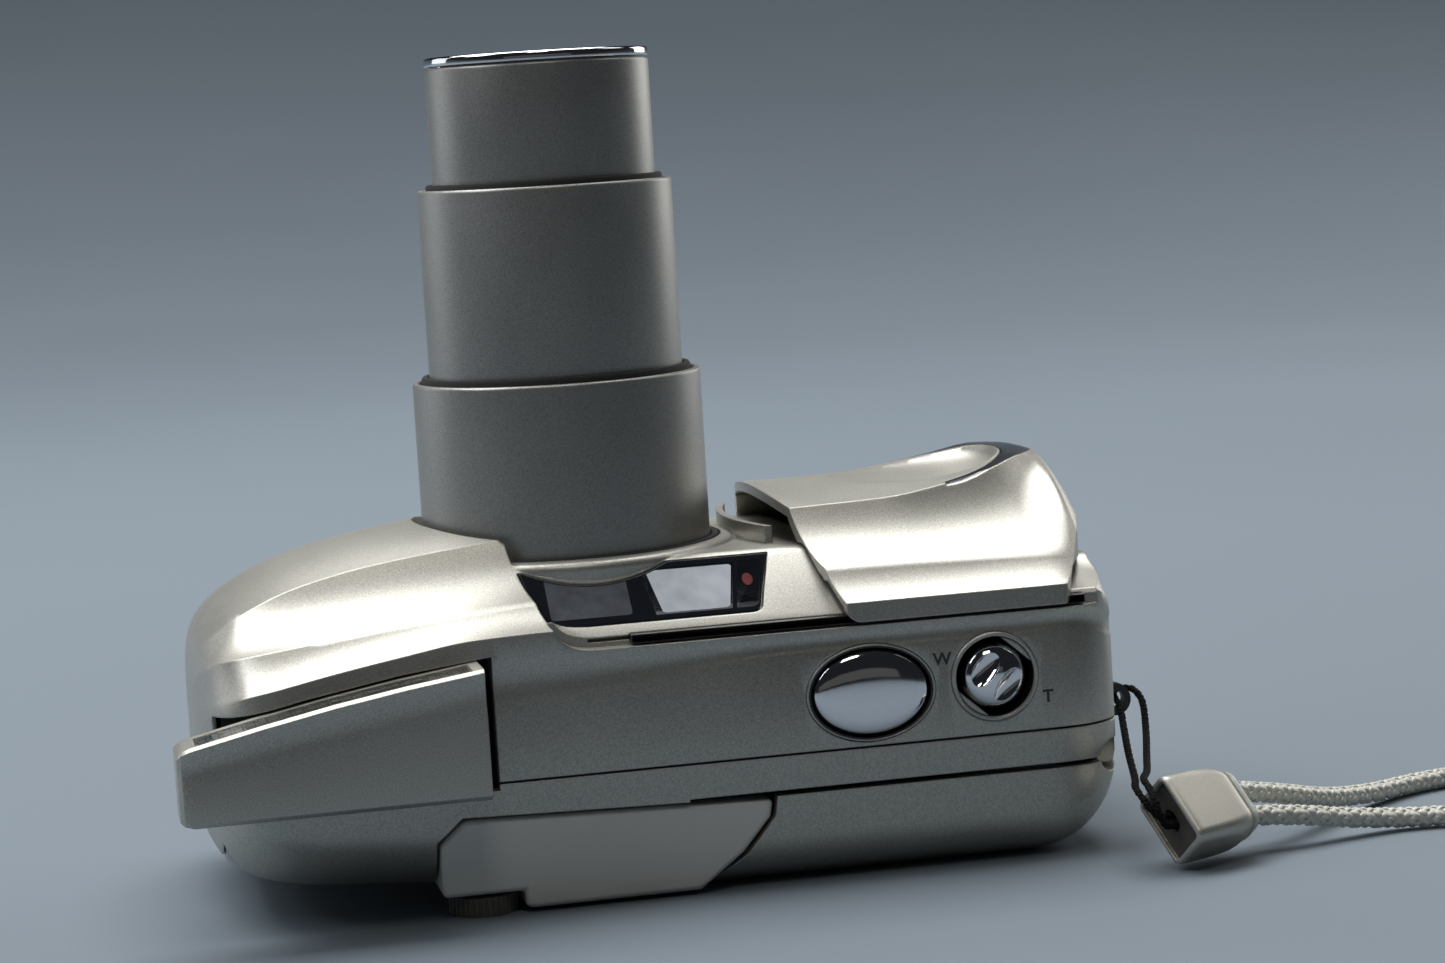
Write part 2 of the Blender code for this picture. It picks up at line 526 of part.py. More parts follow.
def make_casing_details(bench):
    window = bench.part("front_window", window_form(0.0, -1.1), "dark_window")
    bench.cut(window, "lens_lip", rod(22.95, 30, 60, 40, (0, 0), "Z"))
    bench.cut(window, "hump_edge", prism(hump_plan(GAP + 0.05), 20, 70))

    bench.part("lens_hole_seal", tube(20.3, 19.55, 41.2, 42.8, 36), "black_rubber")

    housing = bench.part("eyepiece_housing", prism(eyepiece_outline(), -30.6, EYEPIECE_LOW, "Y"), "grey_plastic",
                         edge=0.7)
    bench.cut(housing, "ocular_recess", prism(rounded(-8.5, 3.5, -28.9, -23.2, 1.5), -2, 3.4))
    bench.cut(housing, "dial_shaft_hole", rod(1.6, 1.5, 6.5, 12, (DIAL_X, DIAL_Y), "Z"))
    bench.part("eyepiece_lens", prism(rounded(-8.0, 3.0, -28.4, -23.7, 1.2), 1.9, 3.1), "clear", edge=0.3)
    bench.part("viewfinder_tube", box(3.5, 15.5, -28.2, -23.0, 13.3, 30.0), "black_plastic", edge=0.5)
    bench.part("autofocus_module", box(-9.5, 2.0, -28.0, -23.0, 19.5, 30.0), "black_plastic", edge=0.5)

    socket = bench.part("tripod_socket", tube(4.6, 3.2, 27.6, 30.0, 20, (TRIPOD_X, TRIPOD_Z), "Y"), "steel")
    bench.join(socket, "flange", tube(5.8, 3.2, 27.2, 27.8, 20, (TRIPOD_X, TRIPOD_Z), "Y"))

    lug = bench.part("strap_lug", prism(
        [(64.5, 19.7), (64.5, 17.9), (LUG_X - 1.2, 17.9)]
        + [(LUG_X + 2.2 * math.cos(math.radians(a)), LUG_Z + 2.2 * math.sin(math.radians(a)))
           for a in range(-170, 91, 20)] + [(LUG_X - 0.6, 19.7)], LUG_Y - 0.75, LUG_Y + 0.75, "Y"), "black_plastic")
    bench.cut(lug, "eye", rod(1.15, LUG_Y - 2, LUG_Y + 2, 16, (LUG_X + 0.1, LUG_Z), "Y"))

    bench.part("shutter_button_bezel", turned(
        [(7.95, -31.1), (8.25, -31.1), (8.25, -29.2), (7.95, -29.2)], 30, (SHUTTER_X, SHUTTER_Z), "Y",
        stretch=0.735), "black_plastic")
    bench.part("zoom_lever_bezel", turned(
        [(4.75, -31.25), (5.2, -31.45), (5.5, -31.25), (5.5, -27.6), (0.0, -27.6), (0.0, -28.6), (4.75, -28.6)],
        24, (LEVER_X, LEVER_Z), "Y"), "silver_plastic")
    bench.part("door_hinge_pin", rod(0.6, -24.2, 24.2, 10, (HINGE_X, HINGE_Z), "Y"), "steel")


# ---------------------------------------------------------------- inside the casing
def trough(x, z, radius, y0, y1, steps):
    """Round-topped chamber that opens to the back."""
    arch = [(x + radius * math.cos(math.pi * i / steps), z + radius * math.sin(math.pi * i / steps))
            for i in range(steps + 1)]
    return prism(arch + [(x - radius, 4.0), (x + radius, 4.0)], y0, y1, "Y")


def make_film_path(bench):
    chassis = bench.part("film_chassis", box(-48.9, 46.2, -21.8, 27.2, 8.8, 31.5), "black_plastic")
    bench.keep(chassis, "inside_casing", cavity_form(clearance=0.35))
    bench.cut(chassis, "eyepiece_room", box(-26, 21, -30, EYEPIECE_LOW + 0.35, 5, 13.4))
    bench.cut(chassis, "lens_bore", rod(22.15, 11.6, 40, 32, (0, 0), "Z"))
    bench.cut(chassis, "cartridge_chamber", trough(CARTRIDGE_X, CARTRIDGE_Z, CARTRIDGE_R, -20.9, 26.4, 16))
    bench.cut(chassis, "spool_chamber", trough(SPOOL_X, SPOOL_Z, SPOOL_CHAMBER_R, -20.9, 26.4, 14))
    bench.cut(chassis, "aperture", box(-18, 18, -12, 12, 5, 20))
    bench.cut(chassis, "sprocket_pocket", trough(SPROCKET_X, SPROCKET_Z, 5.4, -18.0, -13.2, 10))
    bench.cut(chassis, "sprocket_bearing", rod(1.4, -20.0, -11.0, 12, (SPROCKET_X, SPROCKET_Z), "Y"))
    bench.cut(chassis, "fork_bearing", rod(2.3, 25, 29, 16, (CARTRIDGE_X, CARTRIDGE_Z), "Y"))
    bench.cut(chassis, "spool_bearing", rod(2.3, 25, 29, 16, (SPOOL_X, SPOOL_Z), "Y"))

    gate = bench.part("film_gate", box(-21.5, 18.9, -20.0, 20.0, 8.0, 8.5), "dark_grey")
    for y in (-17.4, -14.0, 13.2, 16.6):
        bench.join(gate, f"rail_{y}", box(-21.5, 18.9, y, y + 0.8, 7.75, 8.3))
    bench.cut(gate, "aperture", prism(rounded(-17.9, 17.9, -11.9, 11.9, 0.8), 5, 12))

    sprocket = []
    teeth = 6
    for i in range(teeth * 4):
        radius = 4.75 if i % 4 == 0 else 3.9
        angle = 2 * math.pi * i / (teeth * 4)
        sprocket.append((SPROCKET_X + radius * math.cos(angle), SPROCKET_Z + radius * math.sin(angle)))
    wheel = bench.part("film_sprocket", prism(sprocket, -16.6, -14.8, "Y"), "black_plastic",
                       pivot=(SPROCKET_X, 0, SPROCKET_Z))
    bench.join(wheel, "shaft", rod(1.05, -19.6, -11.4, 12, (SPROCKET_X, SPROCKET_Z), "Y"))

    spool = bench.part("take_up_spool", turned(
        [(0, -20.5), (7.4, -20.5), (7.4, -19.7), (6.0, -19.7), (6.0, 25.2), (7.4, 25.2), (7.4, 26.0),
         (1.9, 26.0), (1.9, 26.9), (0, 26.9)], 20, (SPOOL_X, SPOOL_Z), "Y"), "black_plastic",
        pivot=(SPOOL_X, 0, SPOOL_Z))
    for i in range(3):
        angle = math.radians(120 * i + 30)
        x, z = SPOOL_X + 6.0 * math.cos(angle), SPOOL_Z + 6.0 * math.sin(angle)
        bench.cut(spool, f"film_slot_{i}", box(x - 0.7, x + 0.7, -8, 14, z - 0.7, z + 0.7))

    fork = bench.part("rewind_fork", rod(4.0, 24.6, 26.0, 20, (CARTRIDGE_X, CARTRIDGE_Z), "Y"), "black_plastic",
                      pivot=(CARTRIDGE_X, 0, CARTRIDGE_Z))
    bench.join(fork, "shaft", rod(1.9, 25.6, 27.8, 14, (CARTRIDGE_X, CARTRIDGE_Z), "Y"))
    bench.join(fork, "blade", box(CARTRIDGE_X - 3.4, CARTRIDGE_X + 3.4, 22.2, 24.9, CARTRIDGE_Z - 0.6,
                                  CARTRIDGE_Z + 0.6))
    bench.cut(fork, "blade_notch", box(CARTRIDGE_X - 1.7, CARTRIDGE_X + 1.7, 20, 24.0, CARTRIDGE_Z - 2,
                                       CARTRIDGE_Z + 2))


def make_electronics(bench):
    holder = bench.part("battery_holder", tube(9.2, 8.75, -9.2, 25.6, 28, (BATTERY_X, BATTERY_Z), "Y"),
                        "black_plastic")
    bench.join(holder, "end", rod(9.0, -9.2, -8.4, 28, (BATTERY_X, BATTERY_Z), "Y"))
    bench.part("battery", turned(
        [(0, -5.6), (3.2, -5.6), (3.2, -4.6), (BATTERY_R, -4.6), (BATTERY_R, 25.9), (0, 25.9)], 24,
        (BATTERY_X, BATTERY_Z), "Y"), "battery_sleeve")
    bench.part("battery_contact", turned([(0, -8.0), (4.6, -8.0), (2.6, -5.95), (0, -5.95)], 14,
                                         (BATTERY_X, BATTERY_Z), "Y"), "brass")
    bench.part("flash_capacitor", turned(
        [(0, 47.5), (5.8, 47.5), (6.2, 48.0), (6.2, 62.8), (0, 62.8)], 20, (-17.0, 22.0), "X"), "black_plastic")
    board = bench.part("main_board", box(23.0, 45.2, -18.5, 18.5, 33.2, 34.2), "circuit_green")
    for x, y, size in ((33, -8, 8), (34, 7, 6)):
        bench.join(board, f"chip_{y}", box(x - size / 2, x + size / 2, y - size / 2, y + size / 2, 33.9, 35.4))
    motor = bench.part("zoom_motor", rod(3.0, -14, 9, 16, (-33, 35.0), "Y"), "steel")
    bench.join(motor, "shaft", rod(0.8, 8, 13, 10, (-33, 35.0), "Y"))


# ---------------------------------------------------------------- zoom lens
def barrel(size, counterbore):
    """Thin tube with a base collar and a wider mouth for its seal."""
    inner = size["r"] - size["wall"]
    rim = size["high"]
    return turned([
        (inner, size["low"]), (size["collar"], size["low"]), (size["collar"], size["low"] + 2.0),
        (size["r"], size["low"] + 2.3), (size["r"], rim - 0.35), (size["r"] - 0.3, rim),
        (inner + counterbore, rim), (inner + counterbore, rim - 2.3), (inner, rim - 2.6)], 36)


def add_keys(bench, obj, size):
    """Three straight keys on the base collar, which slide in the next barrel's grooves."""
    for i in range(3):
        angle = math.radians(90 + 120 * i)
        bm = box(size["collar"] - 1.2, size["key"], -2.0, 2.0, size["low"] + 0.1, size["low"] + 1.1)
        bmesh.ops.rotate(bm, verts=bm.verts, cent=(0, 0, 0), matrix=Matrix.Rotation(angle, 3, "Z"))
        bench.join(obj, f"key_{i}", bm)


def add_grooves(bench, obj, inside, reach, low, high):
    """Three straight grooves in the inner wall."""
    for i in range(3):
        angle = math.radians(90 + 120 * i)
        bm = box(inside - 0.6, reach, -2.35, 2.35, low, high)
        bmesh.ops.rotate(bm, verts=bm.verts, cent=(0, 0, 0), matrix=Matrix.Rotation(angle, 3, "Z"))
        bench.cut(obj, f"groove_{i}", bm)


def make_lens(bench):
    fixed = bench.part("fixed_lens_barrel", tube(21.85, 20.75, 12.0, 35.5, 32), "black_plastic")
    add_grooves(bench, fixed, 20.75, 21.6, 11.5, 40.0)

    outer = bench.part("outer_barrel", barrel(OUTER, 0.4), "barrel_silver")
    add_keys(bench, outer, OUTER)
    add_grooves(bench, outer, 17.9, 18.6, 33.0, 62.7)
    bench.part("outer_barrel_seal", tube(18.0, 17.2, 63.3, 64.8, 32), "black_rubber")

    middle = bench.part("middle_barrel", barrel(MIDDLE, 0.4), "barrel_silver")
    add_keys(bench, middle, MIDDLE)
    add_grooves(bench, middle, 15.8, 16.4, 60.0, 88.1)
    bench.part("middle_barrel_seal", tube(15.9, 15.12, 88.8, 90.2, 32), "black_rubber")

    inner = bench.part("inner_barrel", barrel(INNER, 0.3), "barrel_silver")
    add_keys(bench, inner, INNER)

    bench.part("front_ring", turned(
        [(13.1, 107.1), (14.8, 107.1), (14.9, 107.5), (14.55, 108.15), (13.9, 108.2), (13.2, 107.7)], 32), "chrome")
    bench.part("lens_bezel", turned(
        [(8.6, 102.4), (12.7, 102.4), (12.7, 107.3), (11.8, 107.3), (10.9, 105.4), (9.2, 104.9), (8.6, 104.2)], 26),
        "black_plastic")
    bench.part("front_lens", turned(
        [(0, 100.2), (7.9, 100.2), (8.3, 101.2), (8.3, 103.4), (6.2, 104.1), (3.4, 104.6), (0, 104.8)], 24), "clear")
    bench.part("lens_cell", turned(
        [(7.6, 90.0), (13.2, 90.0), (13.2, 92.0), (12.4, 92.4), (12.4, 102.0), (8.7, 102.0), (8.7, 100.0),
         (7.6, 99.8), (7.6, 92.3)], 24), "black_plastic")
    bench.part("shutter_unit", tube(13.2, 3.2, 87.2, 89.6, 24), "dark_grey")
    bench.part("rear_lens", turned([(0, 93.2), (7.2, 93.6), (7.2, 95.8), (0, 96.6)], 20), "clear")


# ---------------------------------------------------------------- sliding cover
def cover_plan(inset=0.0):
    ys = [-36 + 72 * i / 14 for i in range(15)]
    left = [(cover_left(y) + inset, y) for y in ys]
    right = [(cover_right(y) - inset, y) for y in reversed(ys)]
    return left + right


def cover_side():
    """Side outline that rounds the cover's two lower corners."""
    left = [(32.5 - 2.0 * math.cos(math.radians(a)), 35.15 - 2.0 * math.sin(math.radians(a)))
            for a in (0, 30, 60, 90)]
    right = [(59.4 + 1.7 * math.sin(math.radians(a)), 34.85 - 1.7 * math.cos(math.radians(a)))
             for a in (0, 30, 60, 90)]
    return [(20, 60), (20, 38.2), (29.4, 38.2)] + left + right + [
        (61.4, 36.4), (62.0, 37.5), (63.5, 37.9), (72, 37.9), (72, 60)]


def cover_inside():
    """Form under the cover's skin: the outer form moved in by the skin's thickness."""
    rings = []
    for x in (18, 30, 40, 47, 52, 56, 59, 61.5, 63.3, 64.8, 66.2):
        ahead = x + COVER_THICKNESS * min(1.0, max(0.0, (x - 56) / 6))
        half = front_half(min(ahead, 67.4))
        height = half[0][0] - COVER_THICKNESS
        moved = [(height, 26.0), (height, half[0][1])]
        for before, here, after in zip(half, half[1:], half[2:]):
            run = (after[0] - before[0], after[1] - before[1])
            length = math.hypot(*run)
            moved.append((here[0] - run[1] / length * COVER_THICKNESS,
                          here[1] + run[0] / length * COVER_THICKNESS))
        moved.append((0.0, half[-1][1] - COVER_THICKNESS))
        moved = [(max(h, 0.02 * (len(moved) - i)), z) for i, (h, z) in enumerate(moved[:-1])] + [moved[-1]]
        rings.append([(x, -h, z) for h, z in moved] + [(x, h * BOTTOM_SHARE, z) for h, z in reversed(moved) if h > 0])
    return loft(rings)


def crescent(grow, low, high):
    """Moon-shaped outline round the cover's finger dish, extruded."""
    angles = [math.radians(-90 + 180 * i / 14) for i in range(15)]
    outside = [(47 + (17.6 + grow) * math.cos(a), (15.6 + grow) * math.sin(a)) for a in angles]
    inside = [(47 + (13.4 - grow) * math.cos(a), (15.1 - grow) * math.sin(a)) for a in reversed(angles[1:-1])]
    return prism(outside + inside, low, high)


def finger_dish(drop=0.0):
    """Shallow round dish in the cover's front, or the same form lower and wider by the drop."""
    return turned(
        [(0, 47.9 - drop), (6 + drop, 48.0 - drop), (10 + drop, 48.5 - drop), (12.4 + drop, 49.6 - drop),
         (13.2 + drop, 51.5 - drop), (13.2 + drop, 56), (0, 56)], 28, (46.8, 0), stretch=1.05)


def trim_base(lift):
    """Everything under the sloping floor of the trim's groove and left of its blunt tips."""
    tip = 48.6 + 2 * lift
    return prism([(40, 30), (72, 30), (72, 50.6 + lift), (tip, 47.4 + lift), (tip, 60), (40, 60)], -30, 30, "Y")


def make_cover(bench):
    cover = bench.part("sliding_cover", body_form(), "silver_plastic", pivot=(46, 0, 40))
    bench.keep(cover, "plan", prism(cover_plan(), 33.15, 60))
    bench.keep(cover, "above_recess", recess_form(lift=GAP + 0.05, travel=COVER_TRAVEL))
    inside = add_object("cover_inside_cutter", cover_inside(), (0, 0, 0), bench.origin)
    bench.tool(inside, "floor_under_dish", finger_dish(COVER_THICKNESS - 0.1))
    bench.apply(cover, "inside", inside)
    bench.keep(cover, "rounded_corners", prism(cover_side(), -40, 40, "Y"))
    for side in (-1, 1):
        share = 1.0 if side < 0 else BOTTOM_SHARE
        bench.join(cover, f"rail_{'top' if side < 0 else 'bottom'}", box(
            33.0, 57.0, *sorted((side * 27.75 * share, side * 30.2 * share)), 33.3, 33.8))
    bench.cut(cover, "finger_dish", finger_dish())
    groove = add_object("trim_groove_cutter", crescent(0.3, 44, 60), (0, 0, 0), bench.origin)
    bench.tool(groove, "groove_floor", trim_base(0.0))
    bench.apply(cover, "trim_groove", groove)
    trim = bench.part("cover_grip_trim", crescent(0.0, 46.5, 53), "chrome", pivot=(46, 0, 40))
    bench.keep(trim, "crown", body_form())
    bench.cut(trim, "base", trim_base(GAP))


# ---------------------------------------------------------------- flash
def make_flash(bench):
    lift = (0, -FLASH_LIFT, 0)
    head = bench.part("flash_housing", flash_form(), "silver_plastic")
    bench.cut(head, "window_recess", flash_strip(-53.0, -18.6, 1.5, -29.9, -24.2, -0.8))
    window = bench.part("flash_window", flash_strip(-52.6, -19.0, -0.1, -29.6, -24.5, -0.5), "clear")
    reflector = bench.part("flash_reflector", box(-46, -24, -28.9, -25.2, 19.5, 26.3), "chrome", edge=0.4)
    bench.cut(head, "reflector_bay", box(-46.4, -23.6, -29.2, -24.9, 19.1, 33))
    for obj in (head, window, reflector):
        for helper in [obj] + [m.object for m in obj.modifiers if m.type == "BOOLEAN"]:
            helper.location = helper.location + Vector(lift) * MM


def flash_strip(left, right, above, y_low, y_high, below):
    """Bar along the flash head's sloping front side, between two offsets from it."""
    xs = [left + (right - left) * i / 3 for i in range(4)]
    outer = [(x, smooth(FLASH_FRONT, x) + above) for x in xs]
    inner = [(x, smooth(FLASH_FRONT, x) + below) for x in reversed(xs)]
    return prism(outer + inner, y_low, y_high, "Y")


# ---------------------------------------------------------------- controls
def finger_dip(side):
    """Oval dip beside the zoom knob's ridge, which runs KNOB_TURN round from the lens direction."""
    profile = [(2.9 * math.cos(math.radians(a)), 1.8 * math.sin(math.radians(a))) for a in range(-90, 91, 30)]
    dip = turned(profile, 16, stretch=0.5)
    for vert in dip.verts:
        vert.co = Vector((vert.co.y + side * 1.9, vert.co.z - 32.75, vert.co.x))
    turn = Matrix.Rotation(math.radians(KNOB_TURN), 3, "Y")
    bmesh.ops.rotate(dip, verts=dip.verts, cent=(0, 0, 0), matrix=turn)
    bmesh.ops.translate(dip, verts=dip.verts, vec=(LEVER_X, 0, LEVER_Z))
    return dip


def make_controls(bench):
    bench.part("shutter_button", turned(
        [(0, -32.1), (3.0, -32.0), (5.6, -31.7), (7.1, -31.25), (7.6, -30.6), (7.6, -28.9), (8.0, -28.7),
         (8.0, -28.1), (0, -28.1)], 30, (SHUTTER_X, SHUTTER_Z), "Y", stretch=0.72), "chrome",
        pivot=(SHUTTER_X, -30, SHUTTER_Z))

    lever = bench.part("zoom_lever", turned(
        [(0, -32.4), (1.7, -32.25), (2.8, -31.75), (3.4, -31.0), (3.6, -30.1), (3.7, -29.6), (4.05, -29.4),
         (4.05, -28.9), (0, -28.9)], 24, (LEVER_X, LEVER_Z), "Y"), "chrome", pivot=(LEVER_X, -30, LEVER_Z))
    for side in (-1, 1):
        bench.cut(lever, f"dip_{side}", finger_dip(side))

    ribs = 20
    outline = []
    for i in range(ribs):
        for radius, part in ((4.45, 0.0), (4.45, 0.5), (4.15, 0.62), (4.15, 0.88)):
            angle = 2 * math.pi * (i + part) / ribs
            outline.append((DIAL_X + radius * math.cos(angle), DIAL_Y + radius * math.sin(angle)))
    dial = bench.part("diopter_dial", prism(outline, 0.0, 2.45), "dark_grey", pivot=(DIAL_X, DIAL_Y, 0))
    bench.join(dial, "shaft", rod(1.25, 2.0, 6.0, 12, (DIAL_X, DIAL_Y), "Z"))


# ---------------------------------------------------------------- doors
def make_doors(bench):
    door = bench.part("film_door", body_form(), "silver_plastic", pivot=(HINGE_X, 0, HINGE_Z))
    bench.keep(door, "outline", prism(door_outline(0.0), -5, DOOR_Z - 0.35))
    bench.cut(door, "inside", cavity_form())
    bench.cut(door, "eyepiece_notch", prism(eyepiece_gap(0.5), -45, EYEPIECE_LOW + 0.4, "Y"))
    bench.join(door, "knuckle", rod(1.7, -22.0, 22.0, 18, (HINGE_X, HINGE_Z), "Y"))
    bench.cut(door, "pin_bore", rod(0.95, -30, 30, 12, (HINGE_X, HINGE_Z), "Y"))
    for side in (-1, 1):
        bench.cut(door, f"ear_relief_{side}", rod(2.1, *sorted((side * 22.05, side * 32)), 18, (HINGE_X, HINGE_Z), "Y"))
    bench.cut(door, "panel_recess", prism(rounded(27, 57.5, -19.5, -7.5, 2.0), -3, 0.7))
    bench.cut(door, "film_window_slot", prism(rounded(-38.5, -34.0, -7, 11, 2.0), -3, 10))
    for i in range(3):
        bench.cut(door, f"button_hole_{i}", rod(1.95, -3, 5, 16, (mode_button_x(i), -13.5), "Z"))
    bench.cut(door, "display_opening", prism(rounded(29.3, 41.7, -17.8, -9.2, 0.8), -3, 5))

    bench.part("film_window", prism(rounded(-38.1, -34.4, -6.6, 10.6, 1.8), 4.3, 5.4), "clear")
    bench.part("display_window", prism(rounded(29.7, 41.3, -17.4, -9.6, 0.6), 0.35, 1.5), "dark_window")
    for i in range(3):
        x = mode_button_x(i)
        bench.part(f"mode_button_{i + 1}", turned(
            [(0, 0.25), (1.3, 0.25), (1.6, 0.5), (1.6, 2.2), (2.3, 2.2), (2.3, 2.8), (0, 2.8)], 18, (x, -13.5)),
            "grey_plastic", pivot=(x, -13.5, 0.25))

    plate = bench.part("pressure_plate", prism(rounded(-20.5, 18.4, -17.5, 17.5, 2.0), 6.5, 7.3), "black_plastic")
    for x in (-15, 12):
        bench.cut(plate, f"dimple_{x}", prism(oval(x, 0, 2.2, 4.0, 16), 4, 9))
    spring_profile = [(-12, 2.1), (-9, 2.1), (-2, 5.7), (2, 5.7), (9, 2.1), (12, 2.1),
                      (12, 2.5), (9.1, 2.5), (2.1, 6.1), (-2.1, 6.1), (-9.1, 2.5), (-12, 2.5)]
    bench.part("pressure_plate_spring", prism([(x + 3, z) for x, z in spring_profile], -4, 4, "Y"), "steel")

    latch = bench.part("door_latch", box(-52.1, -51.2, 0.7, 8.3, 13.4, 15.95), "grey_plastic",
                       pivot=(-52, 4.5, 14.7))
    bench.join(latch, "stem", box(-51.4, -49.4, 1.9, 5.1, 14.4, 14.9))
    for y in (2.1, 3.9, 5.7, 7.5):
        bench.cut(latch, f"rib_{y}", box(-55, -51.8, y - 0.4, y + 0.4, 12, 18))

    battery_door = bench.part("battery_door", body_form(), "silver_plastic", pivot=(46.4, 30, 22))
    bench.keep(battery_door, "outline", prism(rounded(46.4, 64.5, 13.35, 30.95, 1.0), 27.4, 40, "Y"))


def mode_button_x(index):
    return 44.9 + 5.0 * index


# ---------------------------------------------------------------- strap
def clasp_matrix():
    """Places the clasp, drawn along +X from its middle: rolled on its edge and turned to the side."""
    turn = Matrix.Rotation(math.radians(CLASP_TURN), 4, "Z")
    roll = Matrix.Rotation(math.radians(CLASP_ROLL), 4, "X")
    return Matrix.Translation(CLASP_MIDDLE) @ turn @ roll


def make_clasp(bench):
    long, short, reach = CLASP_LONG / 2, CLASP_SHORT / 2, CLASP_LENGTH / 2
    sleeve_end = reach - 1.7

    def ring(x, inset, corner):
        return [(x, y, z) for y, z in rounded(-long + inset, long - inset, -short + inset, short - inset, corner)]

    sleeve = loft([ring(-reach, 0.25, 0.7), ring(-reach + 0.25, 0.0, 0.9), ring(0, 0.0, 1.0),
                   ring(sleeve_end, 0.45, 1.3)])
    collar = loft([ring(sleeve_end + GAP, 0.5, 1.3), ring(reach - 0.5, 0.8, 1.5), ring(reach, 1.2, 1.5)])
    face = loft([ring(-reach - 1, 0.75, 0.6), ring(-reach + 0.6, 0.75, 0.6)])
    eye = prism(oval(0, 0, 1.6, 0.85, 16), -reach - 1, -reach + 4.2, "X")
    bores = [rod(1.66, 0.8, reach + 1, 12, (side * 1.95, 0), "X") for side in (-1, 1)]
    for form in (sleeve, collar, face, eye, *bores):
        bmesh.ops.transform(form, matrix=clasp_matrix(), verts=form.verts)
    end_collar = bench.part("strap_clasp_collar", collar, "clear")
    clasp = bench.part("strap_clasp", sleeve, "steel")
    bench.cut(clasp, "end_recess", face)
    bench.cut(clasp, "loop_eye", eye)
    for side, bore in zip(("near", "far"), bores):
        cutter = bench.cut(clasp, f"{side}_cord_bore", bore)
        bench.apply(end_collar, f"{side}_cord_bore", cutter)


def route_points(route, spacing):
    """Even points on a smooth curve through the route's own points."""
    dense = []
    padded = [route[0]] + list(route) + [route[-1]]
    for a, b, c, d in zip(padded, padded[1:], padded[2:], padded[3:]):
        a, b, c, d = map(Vector, (a, b, c, d))
        for i in range(12):
            t = i / 12
            dense.append(0.5 * (2 * b + (c - a) * t + (2 * a - 5 * b + 4 * c - d) * t**2
                                + (3 * b - a - 3 * c + d) * t**3))
    dense.append(Vector(route[-1]))
    length = sum((b - a).length for a, b in zip(dense, dense[1:]))
    count = round(length / spacing)
    points = [dense[0]]
    gone, wanted = 0.0, length / count
    for a, b in zip(dense, dense[1:]):
        step = (b - a).length
        while gone + step >= wanted - 1e-9 and len(points) < count:
            points.append(a + (b - a) * ((wanted - gone) / step))
            a, step, gone = points[-1], (b - points[-1]).length, 0.0
        gone += step
    return points + [dense[-1]]


def make_cord(bench, name, route, diameter, finish):
    """Round cord along a route of world points in metres."""
    curve = bpy.data.curves.new(name, "CURVE")
    curve.dimensions = "3D"
    curve.bevel_depth = diameter * MM / 2
    curve.bevel_resolution = 2
    curve.use_fill_caps = True
    points = route_points(route, 2.5 * diameter * MM)
    spline = curve.splines.new("POLY")
    spline.points.add(len(points) - 1)
    for slot, point in zip(spline.points, points):
        slot.co = (*point, 1.0)
    cord = bpy.data.objects.new(name, curve)
    bpy.context.scene.collection.objects.link(cord)
    cord.data.materials.append(bench.materials[finish])


def make_strap(bench):
    make_clasp(bench)
    make_cord(bench, "strap_loop_cord", LOOP_CORD_ROUTE, LOOP_CORD, "black_cord")
    make_cord(bench, "strap_cord", STRAP_CORD_ROUTE, STRAP_CORD, "silver_cord")


def main():
    clear_scene()
    bench = Bench()
    make_materials(bench)
    make_casing(bench)
    make_casing_details(bench)
    make_film_path(bench)
    make_electronics(bench)
    make_lens(bench)
    make_cover(bench)
    make_flash(bench)
    make_controls(bench)
    make_doors(bench)
    make_strap(bench)


main()
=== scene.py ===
"""Looks of the compact zoom camera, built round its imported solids.

Sizes are in millimetres from the lens axis on the resting surface, as in the solids' own source. The camera
lies on its back: +Z is the lens direction, -Y is its top face and +X is the shutter-release side.
"""

import json
from math import atan2, cos, hypot, pi, radians, sin

import bmesh
import bpy
from mathutils import Matrix, Vector


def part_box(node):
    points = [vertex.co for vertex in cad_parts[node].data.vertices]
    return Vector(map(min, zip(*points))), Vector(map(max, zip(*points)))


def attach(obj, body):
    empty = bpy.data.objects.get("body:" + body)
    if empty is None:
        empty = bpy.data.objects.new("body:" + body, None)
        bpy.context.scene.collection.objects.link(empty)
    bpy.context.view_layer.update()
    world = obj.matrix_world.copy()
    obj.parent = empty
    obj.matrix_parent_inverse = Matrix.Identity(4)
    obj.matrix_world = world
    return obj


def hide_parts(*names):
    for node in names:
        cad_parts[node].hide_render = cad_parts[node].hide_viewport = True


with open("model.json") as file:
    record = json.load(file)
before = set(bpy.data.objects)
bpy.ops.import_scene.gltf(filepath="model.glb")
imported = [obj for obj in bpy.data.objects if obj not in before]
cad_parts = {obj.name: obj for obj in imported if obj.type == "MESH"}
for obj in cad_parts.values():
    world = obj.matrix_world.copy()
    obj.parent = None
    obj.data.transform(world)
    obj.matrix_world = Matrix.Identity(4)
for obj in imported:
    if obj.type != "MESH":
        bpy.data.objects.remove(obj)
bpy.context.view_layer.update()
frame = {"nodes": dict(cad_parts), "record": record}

MM = 0.001
ring_low, ring_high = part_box("front_ring")
AXIS = Vector(((ring_low.x + ring_high.x) / 2, (ring_low.y + ring_high.y) / 2, 0.0))
SCENE = bpy.context.scene

